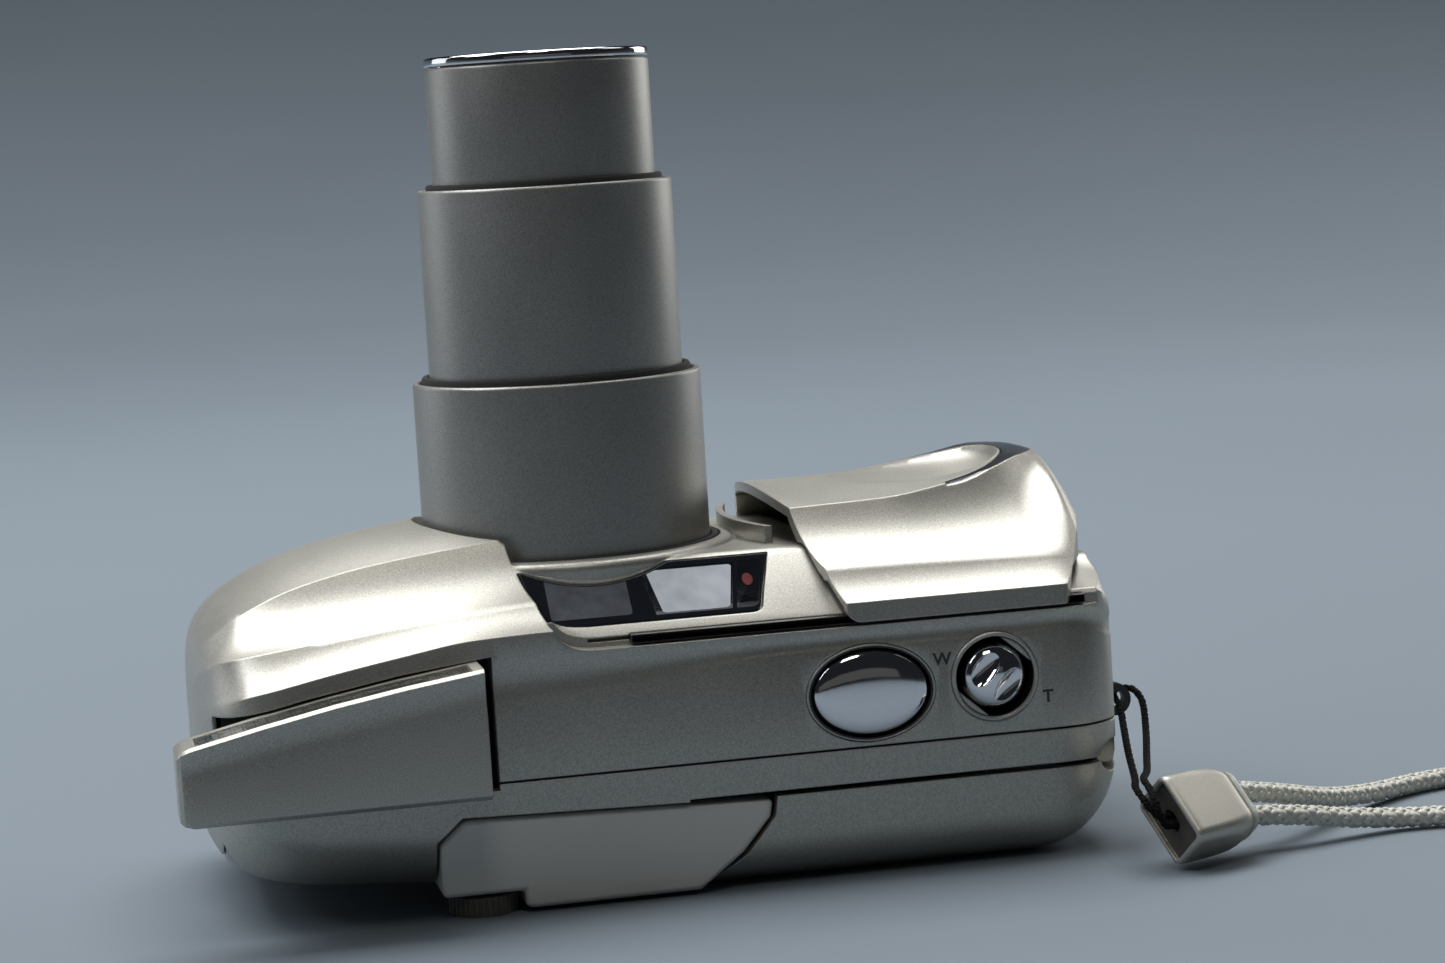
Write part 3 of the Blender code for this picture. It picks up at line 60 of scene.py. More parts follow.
# ---------------- sizes shared with the solids
GAP = 0.3
TOP = 31.0
BOTTOM_SHARE = 30.0 / 31.0
WALL = 2.0
SEAM_Z = 17.0
DOOR_Z = 12.15
LEDGE_Z = 32.7
LENS_PLATE_Z = 42.3
COVER_THICKNESS = 1.3
COVER_TRAVEL = 5.4
FLASH_LIFT = 7.5
HINGE_X, HINGE_Z = 65.8, 12.3
SHUTTER_X, SHUTTER_Z = 33.1, 24.0
LEVER_X, LEVER_Z = 49.6, 24.6
KNOB_TURN = 38.0
DIAL_X, DIAL_Y = -17.9, -26.1
EYEPIECE_LOW = -21.6
TRIPOD_X, TRIPOD_Z = 12.0, 22.8
LUG_X, LUG_Z, LUG_Y = 69.9, 17.6, -17.0
CLASP_LONG, CLASP_SHORT, CLASP_LENGTH = 10.3, 7.0, 12.3
CLASP_MIDDLE = (73.15, -42.0, 6.35)
CLASP_ROLL, CLASP_TURN = 46.5, 25.0
LOOP_CORD, STRAP_CORD = 0.95, 2.7
CORE_SHARE = 0.425  # radius of a cord's core as a share of the cord's diameter
BATTERY_OPENING = (46.0, 64.9, 27.0, 40, 12.95, 31.35)
BEYOND = (-70, 90, -50, 50)  # x and y range wider than the camera
THROUGH_TOP = (-36, -27)  # y range that goes through the top face's wall
LIP_FOOT = 22.6  # radius of the lens lip at its foot
BAND_TILT = atan2(7.3, 7.6)  # slope of the band between the ledge and the lens plate
BAND_MIDDLE = (0, -24.6, 38.1)
# The small screws in the bottom face: x, z and which shell they go through.
SCREWS = ((-40.0, 24.5, "front"), (-2.0, 24.5, "front"), (36.0, 26.0, "front"), (-38.0, 11.0, "rear"))
SIDES = ((-1, 1.0), (1, BOTTOM_SHARE))  # top and bottom side of the camera, and its share of the half height

# The photograph's view: degrees right of +Y, down, and rolled clockwise, with the place in metres.
VIEW_TURN, VIEW_TIP, VIEW_ROLL = 11.59, 6.07, 3.47
VIEW_FROM = (-0.07997, -0.4506, 0.09867)
VIEW_LENS = 86.0

# Cord routes in metres from the world origin. The loop starts and ends in the clasp and goes through the lug.
LOOP_CORD_ROUTE = (
    (0.06236, -0.03825, 0.00689), (0.05855, -0.04002, 0.00689), (0.05717, -0.04038, 0.00768),
    (0.05625, -0.03886, 0.00932), (0.05621, -0.03642, 0.01030), (0.05740, -0.03270, 0.01070),
    (0.05900, -0.02570, 0.01262), (0.06080, -0.01870, 0.01470), (0.06165, -0.01490, 0.01695),
    (0.06170, -0.01270, 0.01765), (0.06240, -0.01060, 0.01830), (0.06430, -0.01060, 0.01850),
    (0.06500, -0.01230, 0.01800), (0.06520, -0.01400, 0.01660), (0.06420, -0.01770, 0.01360),
    (0.06180, -0.02470, 0.01180), (0.05940, -0.03170, 0.01130), (0.05724, -0.03674, 0.01134),
    (0.05707, -0.03922, 0.01064), (0.05711, -0.04142, 0.00925), (0.05762, -0.04206, 0.00710),
    (0.05899, -0.04096, 0.00581), (0.06279, -0.03918, 0.00581))
STRAP_CORD_ROUTE = (
    (0.06536, -0.03593, 0.00776), (0.06976, -0.03388, 0.00776), (0.07107, -0.03327, 0.00770),
    (0.07750, -0.02980, 0.00620), (0.08700, -0.02320, 0.00350), (0.09600, -0.01620, 0.00190),
    (0.10500, -0.01080, 0.00145), (0.11600, -0.00740, 0.00145), (0.13000, -0.00250, 0.00145),
    (0.14500, 0.00480, 0.00145), (0.15800, 0.00750, 0.00145), (0.16800, 0.00120, 0.00145),
    (0.17120, -0.01200, 0.00145), (0.16700, -0.02700, 0.00145), (0.15500, -0.03900, 0.00145),
    (0.13800, -0.04400, 0.00145), (0.12000, -0.04050, 0.00145), (0.10600, -0.03400, 0.00145),
    (0.09500, -0.03180, 0.00160), (0.08650, -0.03280, 0.00260), (0.07900, -0.03440, 0.00400),
    (0.07221, -0.03570, 0.00490), (0.07089, -0.03632, 0.00494), (0.06650, -0.03837, 0.00494))

# The camera's outer form as smooth curves over X: (x, value) points.
HALF_HEIGHT = ((-51.6, 7), (-51.4, 12), (-50.9, 17), (-50.2, 21.5), (-49.2, 25), (-47.6, 28), (-45.4, 30),
               (-42, TOP), (58, TOP), (62, 30.4), (65, 28.8), (66.8, 26.6), (67.5, 24.5))
BACK = ((-51.6, 14), (-51, 10.5), (-49, 7.4), (-45, 5.4), (-38, 4.0), (-30, 3.4), (-23, 2.8),
        (-17, 0.8), (-12, 0), (55, 0), (60, 0.9), (63.5, 3.2), (66, 6.2), (67.5, 9.5))
BACK_ROUND_Y = ((-51.6, 3), (-50, 12), (-45, 14), (-20, 13), (10, 9), (60, 8), (67.5, 6))
BACK_ROUND_Z = ((-51.6, 2), (-50, 7), (-45, 9), (-20, 9), (10, 7), (60, 7), (67.5, 5))
TOP_CREASE = ((-51.6, 21.5), (-36, 24), (-18, 26.8), (4, 28.3), (24, 29.7), (60, 29.6), (67.5, 27.5))
LIP = ((-51.6, 25.6), (-50, 26.7), (-39, 29.2), (-27, 31.2), (-17, 32.5), (-8, LEDGE_Z),
       (60, LEDGE_Z), (65, 32.0), (67.5, 30.5))
EDGE_BAND = ((-51.6, 1.2), (-45, 2.6), (60, 3.0), (67.5, 1.5))
LOW_CREST = ((-51.6, 28.6), (-51, 31.6), (-49.5, 33.6), (-45, 34.9), (-38, 35.8), (-28, 37.0), (-16, 38.1),
             (-8, 38.7), (30, 39.8), (60, 39.2), (62.5, 39.0), (64.5, 38.6), (66, 37.4), (67.5, 33.5))
HIGH_CREST_Y = ((-51.6, 4), (-51, 9), (-49, 14), (-45, 17), (40, 17), (47, 16), (55, 14.3), (60, 11.1),
                (63, 7.3), (64.5, 3.8), (65.2, 1.4), (67.5, 1.4))
HIGH_CREST = ((-51.6, 29.4), (-51, 33.4), (-49.5, 35.9), (-45, 39.2), (-38, 42.0), (-28, 44.1), (-16, 45.5),
              (-8, 46.2), (30, 47.0), (40, 47.3), (47, 48.1), (55, 49.6), (60, 50.8),
              (63, 50.9), (65.2, 50.1), (66, 47.9), (66.8, 44.5), (67.5, 38.5))
FRONT = ((-51.6, 29.8), (-51, 34.2), (-49.5, 37.0), (-45, 40.6), (-38, 44.1), (-28, 46.3), (-16, 48.0),
         (-8, 48.6), (10, 48.9), (30, 48.6), (47, 48.9), (55, 50.0), (60, 51.0), (63, 51.0), (65.2, 50.2),
         (66, 48.0), (66.8, 44.6), (67.5, 38.6))
UPPER_FLUTE = ((-51.6, 0.1), (-40, 0.9), (40, 0.9), (52, 1.2), (59, 1.0), (61.5, -0.3), (64.5, -2.3),
               (66.5, -2.3), (67.5, -1.4))
FLASH_BACK = 16.4
FLASH_CREASE = ((-55.4, 21.2), (-36, 24), (-17.3, 26.9))
FLASH_FRONT = ((-60, 24.6), (-55.4, 25.9), (-50, 27.1), (-39, 29.4), (-27, 31.4), (-17.3, 32.7))
CAVITY_TOP = ((-50, 27), (-48.5, 31), (-45, 35), (-38, 38), (-30, 39.8), (29, 39.8), (36, 38.4), (50, 38.4),
              (55.5, 35.7), (62, 35.3), (65.4, 31.5))
LENS_PLATE = ((-20, LENS_PLATE_Z), (30, LENS_PLATE_Z), (36, 40.3), (52, 40.3), (57, 37.5), (72, 37.5))
RECESS_LEDGE = ((-20, 44), (-8, 36.5), (-6.8, 34.6), (-5.2, 33.3), (-2.5, LEDGE_Z), (72, LEDGE_Z))


def smooth(table, x):
    """Value at x on a smooth curve through the table's points, with no overshoot between them."""
    xs = [point[0] for point in table]
    ys = [point[1] for point in table]
    if x <= xs[0]:
        return ys[0]
    if x >= xs[-1]:
        return ys[-1]
    rises = [(ys[i + 1] - ys[i]) / (xs[i + 1] - xs[i]) for i in range(len(xs) - 1)]
    slopes = [rises[0]]
    for before, after in zip(rises, rises[1:]):
        slopes.append(2 * before * after / (before + after) if before * after > 0 else 0.0)
    slopes.append(rises[-1])
    i = max(k for k in range(len(xs) - 1) if xs[k] <= x)
    span = xs[i + 1] - xs[i]
    t = (x - xs[i]) / span
    return ((2 * t**3 - 3 * t**2 + 1) * ys[i] + (t**3 - 2 * t**2 + t) * span * slopes[i]
            + (3 * t**2 - 2 * t**3) * ys[i + 1] + (t**3 - t**2) * span * slopes[i + 1])


def arc(x, y, rx, ry, degrees):
    """Points on an ellipse round (x, y) at the angles, which are in degrees."""
    return [(x + rx * cos(a), y + ry * sin(a)) for a in map(radians, degrees)]


def flute(start, end, depth, steps):
    """Points after start, up to end, on a shallow hollow whose middle lies depth inside the line."""
    (h0, z0), (h1, z1) = start, end
    length = hypot(h1 - h0, z1 - z0)
    inward = (-(z1 - z0) / length, (h1 - h0) / length)
    points = []
    for i in range(1, steps + 1):
        t = i / steps
        sag = depth * 4 * t * (1 - t)
        points.append((h0 + (h1 - h0) * t + inward[0] * sag, z0 + (z1 - z0) * t + inward[1] * sag))
    return points


def back_half(x, inset=0.0, steps=12):
    """Half outline in (height, z) from the middle of the back round to the top face."""
    height = smooth(HALF_HEIGHT, x) - inset
    back = smooth(BACK, x) + inset
    round_y = smooth(BACK_ROUND_Y, x) - inset / 2
    round_z = smooth(BACK_ROUND_Z, x) - inset / 2
    points = [(0.0, back)]
    for i in range(steps + 1):
        angle = pi / 2 * i / steps
        points.append((height - round_y * (1 - sin(angle)), back + round_z * (1 - cos(angle))))
    return points


def front_half(x):
    """Half outline in (height, z) from the lip at the top face up to the middle of the front."""
    height = smooth(HALF_HEIGHT, x)
    lip = (height, smooth(LIP, x))
    band = (height - 0.35, lip[1] + smooth(EDGE_BAND, x))
    low = (height * 26 / 31, smooth(LOW_CREST, x))
    high = (smooth(HIGH_CREST_Y, x), smooth(HIGH_CREST, x))
    front = smooth(FRONT, x)
    points = [lip, band] + flute(band, low, 0.3, 9) + flute(low, high, smooth(UPPER_FLUTE, x), 14)
    crown = [(high[0] * share, front - (front - high[1]) * share**2)
             for share in (0.85, 0.7, 0.55, 0.4, 0.2, 0.0)]
    return points + crown


def body_half(x):
    """Half outline of the whole camera, from the middle of the back to the middle of the front."""
    height = smooth(HALF_HEIGHT, x)
    crease = (height, smooth(TOP_CREASE, x))
    lip = (height, smooth(LIP, x))
    return back_half(x) + [crease] + flute(crease, lip, 0.45, 8)[:-1] + front_half(x)


def cavity_half(x):
    """Half outline of the hollow inside the casing."""
    height = smooth(HALF_HEIGHT, x) - WALL
    top = smooth(CAVITY_TOP, x)
    shoulder = min(32.4, top - 0.6)
    slope = min(38.5, top - 0.3)
    return back_half(x, inset=WALL - 0.2, steps=5) + [
        (height, min(29.5, shoulder - 0.5)), (height - 3.6, shoulder), (height - 8.6, slope), (0.0, top)]


def recess_half(x, travel=0.0):
    """Half outline under the sliding cover: ledge, sloped band and lens plate, clear over the travel."""
    ledge = smooth(RECESS_LEDGE, x)
    plate = max(smooth(LENS_PLATE, x), smooth(LENS_PLATE, x - travel), ledge + 1.2)
    foot = min(ledge + 1.9, plate - 0.8)
    corner = 20.8 - 0.8 * (LENS_PLATE_Z - min(plate, LENS_PLATE_Z))
    return [(29.0, ledge), (28.9, foot - 0.6), (28.4, foot), (corner + 0.4, plate - 0.75),
            (corner - 0.2, plate - 0.3), (corner - 1.2, plate), (0.0, plate)]


def marched(low, high, finest, widest, growth=0.13):
    """Positions from low to high that lie closer together towards both ends."""
    xs = [low]
    while xs[-1] < high:
        reach = min(xs[-1] - low, high - xs[-1])
        xs.append(xs[-1] + min(widest, finest + growth * reach))
    xs[-1] = high
    if xs[-1] - xs[-2] < finest / 2:
        del xs[-2]
    return xs


def mirrored_ring(x, half):
    """Closed ring at x from a half outline: the top side at -Y, then the bottom side at +Y."""
    top = [(x, -h, z) for h, z in half]
    bottom = [(x, h * BOTTOM_SHARE, z) for h, z in reversed(half) if h > 1e-6]
    return top + bottom


def hump_edge(y, shift=0.0):
    """X of the fixed front hump's curved right-hand edge."""
    return -12.6 + 5.4 * (y / TOP) ** 2 + shift


def cover_left(y):
    return 25.2 + 5.6 * (y / TOP) ** 2


def cover_right(y):
    return 67.9 - 8.1 * abs(y / TOP) ** 2.4


def loft(rings):
    """Closed solid through rings that have the same number of points."""
    bm = bmesh.new()
    rows = [[bm.verts.new(point) for point in ring] for ring in rings]
    for a, b in zip(rows, rows[1:]):
        for i in range(len(a)):
            j = (i + 1) % len(a)
            bm.faces.new((a[i], a[j], b[j], b[i]))
    bmesh.ops.triangulate(bm, faces=bm.faces, quad_method="SHORT_EDGE")
    bm.faces.new(rows[0][::-1])
    bm.faces.new(rows[-1])
    bmesh.ops.recalc_face_normals(bm, faces=bm.faces)
    return bm


def spun(degrees, axis):
    """Rotation about an axis of the frame."""
    return Matrix.Rotation(radians(degrees), 4, axis)


def place(axis, u, v, w):
    """Point from two coordinates across an axis and one along it."""
    return {"X": (w, u, v), "Y": (u, w, v), "Z": (u, v, w)}[axis]


def prism(outline, low, high, axis="Z"):
    """Outline in the two other axes, extruded along the axis from low to high."""
    bm = bmesh.new()
    face = bm.faces.new([bm.verts.new(place(axis, u, v, low)) for u, v in outline])
    moved = bmesh.ops.extrude_face_region(bm, geom=[face])["geom"]
    bmesh.ops.translate(bm, verts=[g for g in moved if isinstance(g, bmesh.types.BMVert)],
                        vec=place(axis, 0, 0, high - low))
    bmesh.ops.recalc_face_normals(bm, faces=bm.faces)
    return bm


def box(x0, x1, y0, y1, z0, z1):
    return prism([(x0, y0), (x1, y0), (x1, y1), (x0, y1)], z0, z1)


def oval(cx, cy, rx, ry, count):
    return [(cx + rx * cos(2 * pi * i / count), cy + ry * sin(2 * pi * i / count))
            for i in range(count)]


def rounded(x0, x1, y0, y1, radius, steps=3):
    """Rectangle outline with rounded corners."""
    points = []
    for cx, cy, start in ((x1 - radius, y1 - radius, 0), (x0 + radius, y1 - radius, 90),
                          (x0 + radius, y0 + radius, 180), (x1 - radius, y0 + radius, 270)):
        points += arc(cx, cy, radius, radius, [start + 90 * i / steps for i in range(steps + 1)])
    return points


def turned(profile, count, centre=(0.0, 0.0), axis="Z", stretch=1.0):
    """Solid of revolution: profile is a closed loop of (radius, position along the axis)."""
    bm = bmesh.new()
    ring = [bm.verts.new((r, 0.0, along)) for r, along in profile]
    edges = [bm.edges.new((a, b)) for a, b in zip(ring, ring[1:] + ring[:1])]
    bmesh.ops.spin(bm, geom=ring + edges, cent=(0, 0, 0), axis=(0, 0, 1), angle=2 * pi,
                   steps=count, use_merge=True, use_duplicate=False)
    bmesh.ops.remove_doubles(bm, verts=bm.verts, dist=1e-4)
    bmesh.ops.dissolve_degenerate(bm, dist=1e-5, edges=bm.edges)
    for face in [f for f in bm.faces if all(abs(v.co.x) + abs(v.co.y) < 1e-6 for v in f.verts)]:
        bm.faces.remove(face)
    for vert in bm.verts:
        vert.co = Vector(place(axis, vert.co.x + centre[0], vert.co.y * stretch + centre[1], vert.co.z))
    bmesh.ops.recalc_face_normals(bm, faces=bm.faces)
    if bm.calc_volume(signed=True) < 0:
        bmesh.ops.reverse_faces(bm, faces=bm.faces)
    return bm


def rod(radius, low, high, count, centre, axis="Y"):
    return prism(oval(centre[0], centre[1], radius, radius, count), low, high, axis)


def hinge_rod(radius, low, high, count):
    return rod(radius, low, high, count, (HINGE_X, HINGE_Z))


def lens_bore(radius, count=128):
    return rod(radius, 30, 60, count, (0, 0), "Z")


def recess_form(lift=0.0, travel=0.0):
    """Everything above the recessed front, right of the hump: cut from the body form."""
    rings = []
    for x in (-20, -8, -7.4, -6.8, -6, -5.2, -4, -2.5, 30, 31.2, 32.4, 33.8, 35.3, 36.5, 38, 39.6, 41.4,
              52, 53.3, 54.6, 56, 57.4, 59, 60.6, 62.4, 72):
        half = [(h + lift if h else h, z + lift) for h, z in recess_half(x, travel)]
        ring = mirrored_ring(x, [(35.0, half[0][1])] + half)
        rings.append(ring + [(x, 35.0, 60.0), (x, -35.0, 60.0)])
    return loft(rings)


def hump_side(shift=0.0):
    """Everything left of the hump's curved edge."""
    ys = [-36 + 72 * i / 16 for i in range(17)]
    return prism([(-60.0, -36)] + [(hump_edge(y, shift), y) for y in ys] + [(-60.0, 36)], 20, 70)


def door_side(grow, high):
    """Everything within the plan of the film door, which reaches round the eyepiece housing."""
    return prism([(-49.3 - grow, -20.9 - grow), (9 - grow, -20.9 - grow), (9 - grow, -40), (80, -40),
                  (80, 40), (-49.3 - grow, 40)], -5, high)


def eyepiece_outline():
    """Eyepiece housing seen from the camera's top face, with a notch for the dial at its left."""
    return [(-23.4, 2.9), (-23.4, 9.8), (-20.2, 12.6), (19.6, 11.4), (19.2, 9.2), (15.4, 4.9),
            (9.6, 0.6), (-13.0, 0.6), (-13.0, 2.9)]


def eyepiece_gap(grow, deeper):
    """Room for the eyepiece housing, open to the back."""
    return prism([(-23.4 - grow, -3), (-23.4 - grow, 9.8 + grow / 2), (-20.2 - grow / 2, 12.6 + grow),
                  (19.6 + grow, 11.4 + grow), (19.2 + grow, 9.2), (15.4 + grow, 4.9 - grow / 2),
                  (9.6 + grow, 0.6 - grow), (7.4 + grow, -3)], -45, EYEPIECE_LOW + deeper, "Y")


def flash_well():
    """Opening for the flash head in the camera's top face."""
    room = 0.35
    edge = [(x, smooth(FLASH_FRONT, x) + room) for x in (-27, -39, -50, -60)]
    return prism([(-60, FLASH_BACK - room), (-15.4, FLASH_BACK - room),
                  (-15.4, FLASH_FRONT[-1][1] + room)] + edge, -45, -22.2, "Y")


def flash_form():
    """Flash head, flush with the top face, with the creased face and a rounded left end."""
    rings = []
    for x, round_off in ((-55.4, 1.3), (-54.9, 0.5), (-53.8, 0), (-45, 0), (-36, 0), (-27, 0), (-17.3, 0)):
        height = TOP - round_off
        back, front = FLASH_BACK + round_off / 2, smooth(FLASH_FRONT, x) - round_off / 2
        crease = (height, smooth(FLASH_CREASE, x))
        face = [(22.7, back), (height - 0.6, back), (height, back + 0.6), crease]
        face += flute(crease, (height - 0.2, front - 0.4), 0.4, 3) + [(height - 0.8, front), (22.7, front)]
        rings.append([(x, -h, z) for h, z in face])
    return loft(rings)


def window_form(grow, depth):
    """Front window on the sloped band: a plate that follows the lens lip and the hump's edge."""
    low, high, corner = -4.0 - grow, 5.2 + grow, 1.6
    round_end = [(20.4 + grow - corner * (1 - sin(radians(a))),
                  low + corner * (1 - cos(radians(a)))) for a in (0, 20, 40, 60, 80, 90)]
    outline = [(-14, low)] + round_end + [(22.6 + grow, high), (-14, high)]
    return on_band(prism(outline, depth, 0.15 if grow == 0 else 3.0))


def on_band(bm):
    """Moves a form drawn flat onto the sloped band between the ledge and the lens plate."""
    turn = Matrix.Rotation(BAND_TILT, 4, "X")
    bmesh.ops.transform(bm, matrix=Matrix.Translation(BAND_MIDDLE) @ turn, verts=bm.verts)
    return bm


def cover_plan():
    ys = [-36 + 72 * i / 60 for i in range(61)]
    return [(cover_left(y), y) for y in ys] + [(cover_right(y), y) for y in reversed(ys)]


def cover_side():
    """Side outline that rounds the cover's two lower corners."""
    left = arc(32.5, 35.15, -2.0, -2.0, range(0, 91, 9))
    angles = map(radians, range(0, 91, 9))
    right = [(59.4 + 1.7 * sin(a), 34.85 - 1.7 * cos(a)) for a in angles]
    rise = [(61.2, 35.6), (61.4, 36.4), (61.7, 37.0), (62.1, 37.5), (62.7, 37.8), (63.5, 37.9)]
    return [(20, 60), (20, 38.2), (29.4, 38.2)] + left + right + rise + [(72, 37.9), (72, 60)]


def cover_inside():
    """Form under the cover's skin: the outer form moved in by the skin's thickness."""
    rings = []
    for x in marched(18, 66.2, 0.5, 2.0):
        ahead = x + COVER_THICKNESS * min(1.0, max(0.0, (x - 56) / 6))
        half = front_half(min(ahead, 67.4))
        moved = [(half[0][0] - COVER_THICKNESS, 26.0), (half[0][0] - COVER_THICKNESS, half[0][1])]
        for before, here, after in zip(half, half[1:], half[2:]):
            run = (after[0] - before[0], after[1] - before[1])
            length = hypot(*run)
            moved.append((here[0] - run[1] / length * COVER_THICKNESS,
                          here[1] + run[0] / length * COVER_THICKNESS))
        moved.append((0.0, half[-1][1] - COVER_THICKNESS))
        moved = [(max(h, 0.02 * (len(moved) - i)), z) for i, (h, z) in enumerate(moved[:-1])] + [moved[-1]]
        rings.append(mirrored_ring(x, moved))
    return loft(rings)


def crescent(grow, low, high):
    """Moon-shaped form round the cover's finger dish."""
    angles = [-90 + 180 * i / 120 for i in range(121)]
    outside = arc(47, 0, 17.6 + grow, 15.6 + grow, angles)
    inside = arc(47, 0, 13.4 - grow, 15.1 - grow, angles[-2:0:-1])
    return prism(outside + inside, low, high)


def finger_dish(drop=0.0):
    """Shallow round dish in the cover's front, or the same form lower and wider by the drop."""
    profile = [(0, 47.9), (3, 47.92), (6, 48.0), (8.5, 48.22), (10, 48.5), (11.3, 48.95), (12.4, 49.6),
               (13.0, 50.5), (13.2, 51.5)]
    lowered = [(r + (drop if r else 0.0), z - drop) for r, z in profile]
    return turned(lowered + [(13.2 + drop, 56), (0, 56)], 96, (46.8, 0), stretch=1.05)


def trim_base(lift):
    """Everything under the sloping floor of the trim's groove and left of its blunt tips."""
    tip = 48.6 + 2 * lift
    outline = [(40, 30), (72, 30), (72, 50.6 + lift), (tip, 47.4 + lift), (tip, 60), (40, 60)]
    return prism(outline, -30, 30, "Y")


def flash_strip(left, right, above, below, y_low=-29.9, y_high=-24.2, steps=16):
    """Bar along the flash head's sloping front side, between two offsets from it."""
    xs = [left + (right - left) * i / steps for i in range(steps + 1)]
    outer = [(x, smooth(FLASH_FRONT, x) + above) for x in xs]
    inner = [(x, smooth(FLASH_FRONT, x) + below) for x in reversed(xs)]
    return prism(outer + inner, y_low, y_high, "Y")


def body_form():
    return loft([mirrored_ring(x, body_half(x)) for x in marched(-51.6, 67.5, 0.15, 1.5)])


def cavity_form():
    return loft([mirrored_ring(x, cavity_half(x)) for x in marched(-49.6, 65.3, 0.8, 4.0)])


# ---------------- making pieces
def tuned(thing, **settings):
    """The same thing with these of its own properties set."""
    for key, value in settings.items():
        setattr(thing, key, value)
    return thing


def linked(name, data):
    """New object in the scene that shows the data."""
    obj = bpy.data.objects.new(name, data)
    SCENE.collection.objects.link(obj)
    return obj


def mesh_of(form, name):
    """The form as a mesh: a bmesh is used up, and a mesh stays as it is."""
    if isinstance(form, bpy.types.Mesh):
        return form
    mesh = bpy.data.meshes.new(name)
    form.to_mesh(mesh)
    form.free()
    return mesh


def shaped(bm, *steps):
    """Mesh in millimetres after Boolean steps, each (operation, form); a form may be a mesh made here."""
    obj = linked("shaping", mesh_of(bm, "shaping"))
    helpers = []
    for operation, form in steps:
        helpers.append(linked("shaping_tool", mesh_of(form, "shaping_tool")))
        tuned(obj.modifiers.new("step", "BOOLEAN"), operation=operation, object=helpers[-1], solver="EXACT")
    mesh = bpy.data.meshes.new_from_object(obj.evaluated_get(bpy.context.evaluated_depsgraph_get()))
    for done in [obj] + helpers:
        bpy.data.objects.remove(done)
    return mesh


def cut(*forms):
    return [("DIFFERENCE", form) for form in forms]


def keep(*forms):
    return [("INTERSECT", form) for form in forms]


def join(*forms):
    return [("UNION", form) for form in forms]


def piece(name, form, finish, body, node=None, angle=30.0, bevel=0.0, segments=3):
    """Shown piece from a form in millimetres: it rides on the body and may stand for a CAD node."""
    mesh = mesh_of(form, name)
    mesh.name = name
    mesh.transform(Matrix.Translation(AXIS) @ Matrix.Scale(MM, 4))
    mesh.materials.clear()
    mesh.materials.append(FINISHES[finish])
    obj = linked(name, mesh)
    if bevel:
        tuned(obj.modifiers.new("rounding", "BEVEL"), width=bevel * MM, segments=segments,
              limit_method="ANGLE", angle_limit=radians(40), harden_normals=True)
    mesh.shade_smooth()
    mesh.set_sharp_from_angle(angle=radians(angle))
    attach(obj, body)
    if node:
        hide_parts(node)


